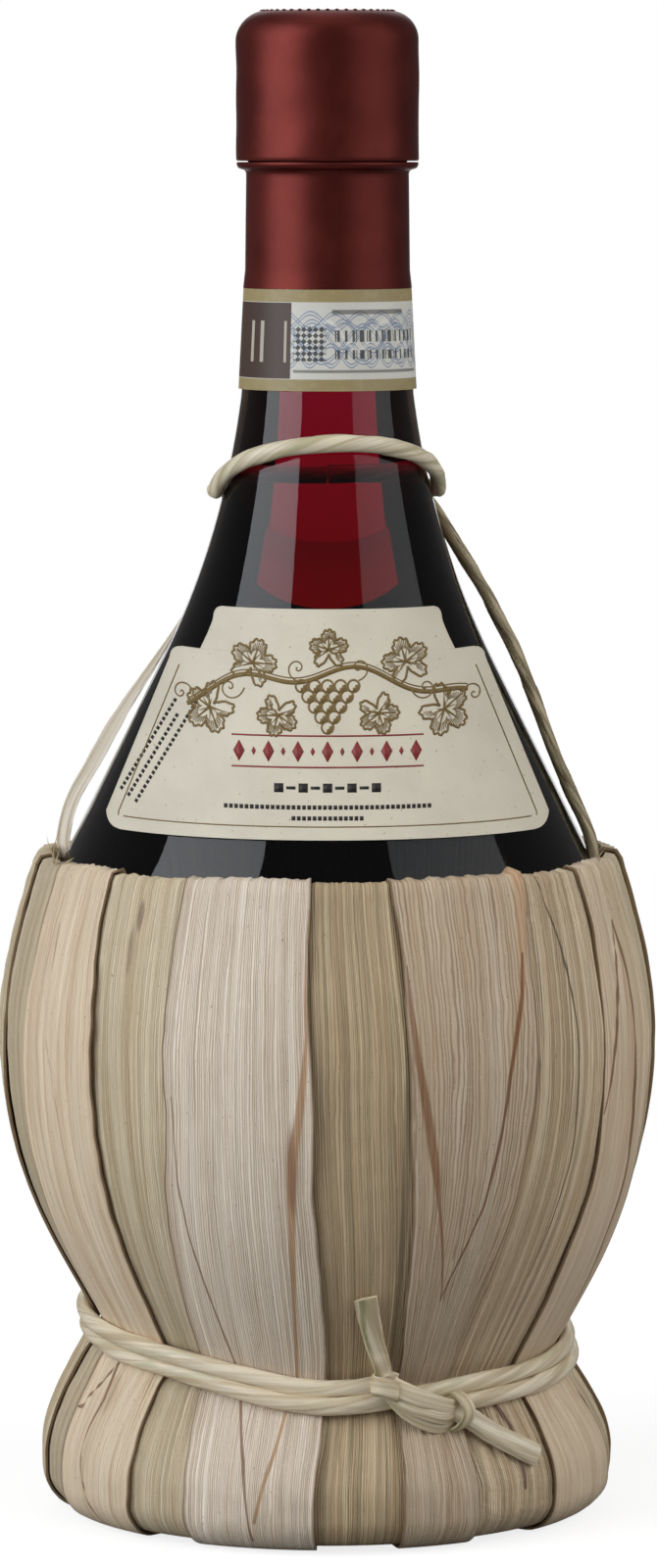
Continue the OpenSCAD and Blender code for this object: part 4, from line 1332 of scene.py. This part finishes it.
def strip_part(number, lift, tilt, steps, folds):
    """One strip as a closed sheet. Across it runs u from -1 to 1. Its height over the line is
    its layer's, plus a crown, long flutes, pleats near the waist, a crumple at the rim, a lifted
    edge and a step where it has split, less what the tie and the table press flat."""
    outer = number % 2 == 1
    left, right = strip_span(number)
    u = np.linspace(-1, 1, 49)[None, :]
    along = ALONG[:, None]
    z = LINE[:, 1][:, None]
    half_mm = np.radians(np.median(right - left) / 2) * BASKET_R
    x = u * half_mm
    seed = number * 17
    wander = ripple(along, 0, 30, 1, seed) * 0.5 + ripple(along, 0, 9, 1, seed + 1) * 0.09
    wander_r = ripple(along, 0, 30, 1, seed + 2) * 0.5 + ripple(along, 0, 9, 1, seed + 3) * 0.09
    edge_mm = mix(wander, wander_r, (u + 1) / 2) * np.abs(u) ** 3
    az = mix(left[:, None], right[:, None], (u + 1) / 2) + np.degrees(edge_mm / BASKET_R)
    shown = 1 - smooth((np.abs(u) - 0.55) / 0.25) if not outer else 1
    crown = 0.35 * (1 - u * u) if outer else 0.45 * shown
    flutes = folds * ripple(x, along, 3.6, 130, seed + 4) + 0.10 * ripple(x, along, 1.5, 60, seed + 5)
    near_waist = np.exp(-((z - WAIST_Z) / 17) ** 2)
    pleats = near_waist * (0.34 * ripple(x, along, 3.0, 70, seed + 6) + 0.12)
    cross = 0.05 * ripple(x, along, 16, 7, seed + 7)
    near_rim = np.exp(-((ALONG - ALONG[TOP_ROW]) / 5) ** 2)[:, None]
    crumple = near_rim * 0.09 * ripple(x, along, 2.6, 5, seed + 8)
    end_lift = smooth((np.abs(x) - half_mm + 1.6) / 1.6)
    side_lift = np.where(u > 0, 1 + ripple(along, 0, 45, 1, seed + 9), 1 + ripple(along, 0, 45, 1, seed + 10))
    edge = lift * end_lift * np.clip(side_lift, 0.1, 2) if outer else 0
    relief = crown + flutes + pleats + cross + crumple + edge + tilt * u
    for points, height, wide in steps:
        centre = np.interp(z[::-1, 0], [p for p, _ in sorted(points)], [q for _, q in sorted(points)])[::-1]
        inside = (z > min(p for p, _ in points)) & (z < max(p for p, _ in points))
        fade = smooth((z - min(p for p, _ in points)) / 8) * smooth((max(p for p, _ in points) - z) / 8)
        far = (u - centre[:, None]) * half_mm
        relief = relief + inside * fade * height * (smooth(far / wide + 0.5) - 0.5 + 0.6 * np.exp(-(far / wide) ** 2))
    press = np.exp(-((z - WAIST_Z + slump(az)) / 3.6) ** 4)
    free = np.clip(1 + 1.7 * NORMAL[:, 1][:, None], 0, 1) * (1 - 0.9 * press)
    inner_leg = (np.arange(len(LINE)) < TOP_ROW)[:, None]
    free = np.where(inner_leg, 0.12, free)
    relief = np.clip(relief * free, -0.35, 1.2) - 0.12 * press
    base = HUSK_T + LAYER_GAP if outer else 0.0
    height = base + HUSK_T + relief

    def place(depth):
        r = LINE[:, 0][:, None] + depth * NORMAL[:, 0][:, None]
        level = z + depth * NORMAL[:, 1][:, None]
        return polar(az, r, dipped(level, az))

    grain = np.stack(np.broadcast_arrays(x + 60 * number, along + 11 * number, u, z), -1)
    return slab(place(height), place(height - 0.42), grain)


# The looks of a husk: main, second, groove and streak tones, and the strengths of its marks. The groove tone is
# painted shade in the rib grooves and the thin dark lines, and ribs and lines are the strengths of that painted
# shade.
HUSKS = {
    "milky": {"tones": [(242, 229, 212), (226, 210, 190), (160, 130, 96), (247, 240, 226)],
              "ribs": 0.72, "lines": 0.35, "streaks": 0.4, "ticks": 0.3, "pitch": 0.42, "tan": 0.15},
    "peachy": {"tones": [(234, 216, 190), (222, 202, 173), (170, 140, 104), (245, 222, 190)],
               "ribs": 0.3, "lines": 0.35, "streaks": 0.7, "ticks": 0.15, "pitch": 0.5, "tan": 0.4},
    "mossy": {"tones": [(212, 195, 168), (190, 174, 144), (116, 98, 70), (222, 207, 178)],
              "ribs": 0.35, "lines": 0.3, "streaks": 0.3, "ticks": 0.35, "pitch": 0.36, "tan": 0.3},
    "grassy": {"tones": [(224, 208, 178), (196, 180, 148), (124, 104, 74), (238, 221, 191)],
               "ribs": 0.45, "lines": 0.5, "streaks": 0.6, "ticks": 0.3, "pitch": 0.4, "tan": 0.3},
    "streaked": {"tones": [(204, 181, 146), (171, 151, 119), (96, 79, 56), (227, 206, 166)],
                 "ribs": 0.6, "lines": 0.75, "streaks": 0.75, "ticks": 0.15, "pitch": 0.46, "tan": 0.35},
    "woven": {"tones": [(209, 191, 166), (196, 175, 147), (136, 110, 82), (221, 205, 184)],
              "ribs": 0.75, "lines": 0.35, "streaks": 0.35, "ticks": 0.45, "pitch": 0.5, "wave": 9,
              "tan": 0.25},
    "sandy": {"tones": [(230, 209, 178), (190, 168, 136), (118, 98, 70), (237, 218, 185)],
              "ribs": 0.5, "lines": 0.6, "streaks": 0.7, "ticks": 0.2, "pitch": 0.44, "tan": 0.35, "folds": 0.34,
              "film": ((4, 24), (106, 130))},
    "rosy": {"tones": [(231, 211, 184), (216, 196, 167), (184, 154, 118), (239, 219, 194)],
             "ribs": 0.4, "lines": 0.35, "streaks": 0.4, "ticks": 0.25, "pitch": 0.46, "tan": 0.35,
             "film": ((106, 130),)},
}
BROWN = shade(118, 76, 48)
RUST = shade(136, 92, 58)
PEACH = shade(188, 144, 102)
SLIVER = shade(172, 132, 94)
PLUM = shade(104, 72, 64)
# A grey-brown painted shade, laid as veins along the sides of strip 2 and in the fold of strip 4.
PAINTED_SHADE = shade(92, 78, 54)

# A vein's points: height, share of the strip's half width, and half its own width in millimetres
D_RIGHT = [(112, 0.99, 0.1), (103, 0.97, 0.15), (92, 0.96, 0.3), (82, 0.86, 0.8), (72, 0.74, 1.1),
           (60, 0.68, 0.8), (46, 0.61, 0.4), (33, 0.56, 0.4), (28, 0.46, 0.4), (18, 0.34, 0.55),
           (6, 0.12, 0.4)]
D_LEFT = [(81, -0.9, 0.1), (67, -0.81, 0.2), (58, -0.72, 0.22), (42, -0.5, 0.26), (29, -0.33, 0.35),
          (17, -0.1, 0.45), (3, 0.06, 0.25)]
# The darker sides of strip 2, where its neighbours' edges lie over it: painted shadow.
E_LEFT = [(104, -0.98, 0.3), (96, -0.95, 1.2), (70, -0.92, 1.1), (40, -0.9, 0.8), (30, -0.9, 0.5)]
E_RIGHT = [(99, 0.7, 0.1), (90, 0.62, 0.5), (70, 0.6, 0.9), (50, 0.5, 0.6), (33, 0.5, 0.4)]
F_LEFT = [(103, -0.94, 0.1), (97, -0.93, 0.3), (88, -0.88, 0.55), (78, -0.73, 0.7), (71, -0.62, 0.8),
          (65, -0.52, 0.3), (48, -0.13, 0.2)]
F_EDGE = [(121, 0.93, 0.4), (116, 0.93, 0.8), (106, 0.88, 0.8), (94, 0.72, 0.6), (84, 0.53, 0.3)]
F_RIGHT = [(104, 0.86, 0.15), (99, 0.8, 0.28), (85, 0.55, 0.28), (71, 0.41, 0.25),
           (64, 0.35, 0.22), (55, 0.09, 0.2), (48, -0.15, 0.15)]
# The dark fold line of strip 4 and the shade beside its left side: painted shade.
G_FOLD = [(116, -0.3, 0.15), (104, -0.05, 0.22), (90, 0.1, 0.2), (70, 0.15, 0.14), (50, 0.1, 0.1)]
G_SHADE = [(98, -0.8, 0.4), (86, -0.6, 1.2), (70, -0.7, 0.9), (55, -0.8, 0.4)]
H_LEFT = [(107, 0.01, 0.25), (95, -0.4, 0.42), (84, -0.7, 0.4), (76, -0.9, 0.25)]
H_RIGHT = [(107, 0.01, 0.25), (97, 0.1, 0.4), (85, 0.23, 0.42), (70, 0.34, 0.45), (64, 0.44, 0.5),
           (54, 0.36, 0.35), (42, 0.57, 0.2)]
B_MAIN = [(107, -0.26, 0.2), (99, -0.17, 0.25), (88, -0.1, 0.2), (80, 0.1, 0.15), (67, 0.2, 0.22),
          (52, 0.14, 0.12)]
B_PALE = [(112, -0.4, 0.3), (96, -0.45, 0.5), (80, -0.5, 0.5), (60, -0.4, 0.4), (40, -0.2, 0.2)]
B_FOOT = [(28, -0.3, 0.35), (22, -0.2, 0.5), (14, -0.3, 0.45), (9, -0.2, 0.45), (2, 0.1, 0.3)]
B_FORK = [(28, -0.3, 0.4), (24, -0.55, 0.6), (19, -0.95, 0.45)]
G_FOOT = [(29, 0.06, 0.35), (22, 0.18, 0.6), (16, 0.12, 0.8), (10, 0.1, 0.5)]
H6_FOOT = [(29, -0.68, 0.35), (21, -0.42, 0.45), (14, -0.67, 0.35)]

# Per strip: its look, its edges' lift, its tilt, its veins with their strength and tone, and its
# stains with their share and height, their half sizes, their strength and tone
STRIPS = {
    16: ("mossy", 0.3, 0.0, [], []),
    17: ("peachy", 0.4, 0.1,
         [(B_PALE, 0.5, PEACH), (B_MAIN, 0.6, RUST), (B_FOOT, 0.85, BROWN), (B_FORK, 0.85, BROWN)],
         [(-0.1, 23, 0.25, 4, 0.35, RUST)]),
    18: ("grassy", 0.3, 0.0, [], [(0.0, 110, 0.07, 3.2, 0.6, PLUM), (-0.1, 104, 0.05, 5, 0.45, PLUM)]),
    1: ("milky", 0.45, 0.1, [(D_RIGHT, 0.85, SLIVER), (D_LEFT, 0.8, BROWN)],
        [(0.72, 70, 0.1, 9, 0.5, BROWN)]),
    2: ("streaked", 0.3, 0.0, [(E_LEFT, 0.6, PAINTED_SHADE), (E_RIGHT, 0.55, PAINTED_SHADE)], []),
    3: ("woven", 0.5, 0.0, [(F_LEFT, 0.8, RUST), (F_EDGE, 0.55, PEACH), (F_RIGHT, 0.9, BROWN)], []),
    4: ("sandy", 0.3, 0.0, [(G_FOLD, 0.9, PAINTED_SHADE), (G_SHADE, 0.5, PAINTED_SHADE), (G_FOOT, 0.85, PLUM)], []),
    5: ("rosy", 0.5, 0.1, [(H_LEFT, 0.85, BROWN), (H_RIGHT, 0.85, BROWN)], []),
    6: ("grassy", 0.3, 0.0, [(H6_FOOT, 0.8, BROWN)], []),
}


def add_strips():
    """The eighteen strips of the basket, each with its own tones, veins and relief."""
    draw = np.random.default_rng(11)
    for number in range(1, 19):
        kind = ("milky", "sandy", "grassy", "streaked")[draw.integers(4)]
        kind, lift, tilt, veins, stains = STRIPS.get(number, (kind, 0.4, 0.0, [], []))
        name = f"husk_{number:02d}"
        left, right = strip_span(number)
        look = dict(HUSKS[kind], vein_scale=1 / (math.radians(np.median(right - left) / 2) * BASKET_R))
        finish = husk_finish(name, look, veins, stains)
        steps = [([p[:2] for p in points], 0.3, 1.2) for points, _, _ in veins]
        part = strip_part(number, lift, tilt, steps, look.get("folds", 0.17))
        piece(f"husk_leaf_{number:02d}", part, "bottle", finish, [f"husk_strip_{number:02d}"], 60)


def over_r(z):
    """Radius of the outer strips' face at a height of the line between foot and belly."""
    face = LINE + NORMAL * STACK
    keep = (face[:, 1] > FOOT_Z) & (face[:, 1] < BASKET_Z) & (np.arange(len(LINE)) > TOP_ROW)
    return np.interp(z, face[keep][::-1, 1], face[keep][::-1, 0])


def ribbon(path, guide, width, thick, seed, turn=0):
    """A flat strip of raffia along a path: a thin oval with soft folds along it."""
    def folded(along, around):
        fold = np.cos(5 * around + 0.12 * along) + ripple(around * 3, along, 2, 12, seed)
        return 1 + 0.07 * fold
    return sweep(path, guide, width, thick, 28, folded, turn)


def add_tie():
    """The cord laid twice round the waist, its knot of flat turns and its two ends."""
    finish = cord_finish(
        "waist_raffia", shade(236, 223, 198), shade(196, 178, 146), shade(146, 150, 98), 0.26, 0.17, 0.35,
    )
    turn = np.linspace(0, 2 - 7.5 / 360, 721)
    az = KNOT_AZ + 360 * turn
    z = WAIST_Z + TIE_PITCH * (turn - 1) - slump(az)
    r = over_r(z) + (TIE_D / 2 + SOFT_GAP) / math.cos(math.radians(25))
    path = even(polar(az, r, dipped(z, az)), 0.9)
    part = sweep(path, away_from_axis(path), TIE_D * 1.36, TIE_D * 1.08, 28, rolled(52, 0.11, 21))
    piece("cord_waist_tie", part, "bottle", finish, ["waist_tie"])
    face = over_r(WAIST_Z + TIE_PITCH) + SOFT_GAP + TIE_D * 0.7
    middle = polar(KNOT_AZ, face, dipped(WAIST_Z, KNOT_AZ) - KNOT_DROP)
    a = math.radians(KNOT_AZ)
    axes = np.array([[math.cos(a), math.sin(a), 0], [0, 0, 1], polar(KNOT_AZ, 1, 0)])
    turns = []
    for number, (width, flat, stops) in enumerate(KNOT_TURNS):
        path = spline(middle + np.array(stops, float) @ axes, 0.35)
        heading = unit(np.gradient(path, axis=0))
        guide = np.cross(np.array(flat, float) @ axes, heading)
        turns.append(ribbon(path, guide, width, 1.0, 31 + number))
    finish = cord_finish(
        "knot_raffia", shade(230, 216, 188), shade(182, 164, 130), shade(146, 148, 96), 0.26, 0.06, 0.5, 2.6,
    )
    plain = cord_finish(
        "end_raffia", shade(238, 227, 203), shade(198, 181, 150), shade(152, 156, 104), 0.24, 0.06, 0.25,
    )
    piece("knot_of_raffia", joined(turns), "bottle", finish, ["waist_knot"])
    for name, stops, node, look, widths, depths in (
        ("raffia_end_upper", TAIL_UPPER, "tie_tail_upper", finish, (3.0, 4.0), (1.5, 0.8)),
        ("raffia_end_lower", TAIL_LOWER, "tie_tail_lower", plain, (3.5, 3.9), (2.1, 1.5)),
    ):
        path = spline(stops, 0.4)
        share = travel(path) / travel(path)[-1]
        held = 2.2 * (1 - smooth(share * 4))
        path = path - unit(away_from_axis(path)) * held[:, None]
        part = ribbon(path, away_from_axis(path), mix(*widths, smooth(share)), mix(*depths, share), 41)
        piece(name, part, "bottle", look, [node], 60)


def add_base_ring():
    """The ring of straw in the foot, bound with straw round and round."""
    low = STACK + 0.6
    top = WAIST_Z - 5
    inner = FOOT_IN_R + STACK + SOFT_GAP + 0.2
    neck = WAIST_R - STACK - 0.5
    body = FOOT_R - STACK - 1.3
    corners = np.array([
        [inner, low + 3], [inner + 2, low], [body - 4, low], [body - 0.8, low + 2.4], [body, low + 6],
        [body - 1, low + 11], [mix(neck, body, 0.45), top - 7], [neck, top - 3], [neck, top],
        [flask_r(top) + SOFT_GAP, top], [max(inner, flask_r(top - 2) + SOFT_GAP), top - 2],
        [inner, top - 4],
    ])
    closed = even(np.concatenate([corners, corners[:1]]), 1.6)[:-1]
    ahead = unit(np.roll(closed, -1, 0) - np.roll(closed, 1, 0))
    inward = np.stack([-ahead[:, 1], ahead[:, 0]], -1)
    sides = 540
    degrees = -180 + np.arange(sides + 1) * 360 / sides
    cut = np.arange(len(closed) + 1)[:, None] / len(closed)
    binding = np.abs(np.sin(np.pi * (degrees[None, :] / 6 + cut))) ** 0.6
    depth = 0.1 + 0.55 * (1 - binding) + 0.08 * ripple(degrees[None, :], cut * 60, 2, 7, 77)
    r = closed[:, :1] + depth[:-1, :-1] * inward[:, :1]
    z = closed[:, 1:] + depth[:-1, :-1] * inward[:, 1:]
    points = polar(degrees[None, :-1], r, z)
    quads, rows, cols = grid(len(closed), sides, True, True)
    around = degrees[cols] * (body * math.pi / 180)
    uv = np.stack([around, cut[rows, 0] * 80, degrees[cols] / 180, cut[rows, 0] * 80], -1)
    part = outward(shape(points.reshape(-1, 3), [quads], [uv]))
    look = dict(HUSKS["sandy"], vein_scale=1)
    piece("bound_ring", part, "bottle", husk_finish("bound_straw", look), ["base_ring"])


def add_handle_strip():
    """The flat pale husk that runs down behind the left side, creased along its length."""
    path = spline(HANDLE_STRIP, 0.8)
    share = travel(path) / travel(path)[-1]
    path = path + unit(away_from_axis(path)) * (smooth(share * 5) * smooth((1 - share) * 5))[:, None] * 1.1

    def creased(along, around):
        return 1 + 0.10 * np.cos(4 * around + along * 0.1) + 0.05 * ripple(around * 3, along, 2, 9, 51)

    width = HANDLE_STRIP_W * mix(0.8, 1.0, smooth(share * 4))
    part = sweep(path, away_from_axis(path), width, 0.75, 28, creased, STRIP_TURN * smooth(share * 3))
    finish = cord_finish(
        "pale_husk", shade(226, 216, 200), shade(190, 174, 148), shade(190, 182, 140), 0.4, 0.0, 0.0,
    )
    piece("handle_husk_strip", part, "bottle", finish, ["handle_strip"], 60)


def add_frays():
    """Torn fibres that stand up from the rim's fold."""
    slivers = []
    for number, (az, lean, height, width) in enumerate(FRAYS):
        top = RIM_Z - 0.6
        r = flask_r(FOLD_Z) + RIM_GAP + STACK + HOOP_R + 0.9
        t = np.linspace(0, 1, 9)
        path = polar(az + lean * t ** 1.6, r + 0.8 * np.sin(2 * t + number), top + height * t)
        slivers.append(sweep(path, away_from_axis(path), width * (1.02 - t), 0.22 * (1.05 - t), 8))
    fray = cord_finish("torn_fibre", shade(206, 190, 156), shade(150, 130, 92), shade(190, 182, 140), 0.6, 0, 0)
    piece("rim_frays", joined(slivers), "bottle", fray)


def dress_nodes():
    """The cork and the rim's hoop keep their own shapes and get their finishes."""
    m = material("hoop_cane")
    place = m.node("ShaderNodeTexCoord", None, None, 3)
    grain = m.noise(place, 700, 3, 0.6)
    colour = m.blend(grain.step(0.35, 0.7), shade(150, 124, 84), shade(186, 164, 120))
    m.surface(Base_Color=colour, Roughness=0.6, Normal=m.bump(grain, 0.1, 0.6))
    for node, finish in (("cork", cork_finish()), ("rim_hoop", m.owner)):
        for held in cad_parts[node].material_slots:
            held.material = finish


bpy.context.scene.view_settings.view_transform = "Standard"
add_camera()
add_cords()
add_flask()
add_capsule()
add_band()
add_label()
add_strips()
add_tie()
add_base_ring()
add_handle_strip()
add_frays()
dress_nodes()
add_softbox("softbox_left", -34, -88, 0.06, 1.5, 1.0, 2.5, (0.9, 0.945, 1.0))
add_softbox("softbox_right", 33, 92, 0.06, 1.5, 1.0, 0.75, (0.93, 0.965, 1.0))
add_softbox("fill_left", -34, -88, 0.06, 1.5, 1.0, 1.45, (1.0, 0.975, 0.93), False)
add_softbox("fill_right", 30, 100, 0.36, 1.5, 1.0, 1.4, (1.0, 0.98, 0.95), False)
add_sky()
add_table()
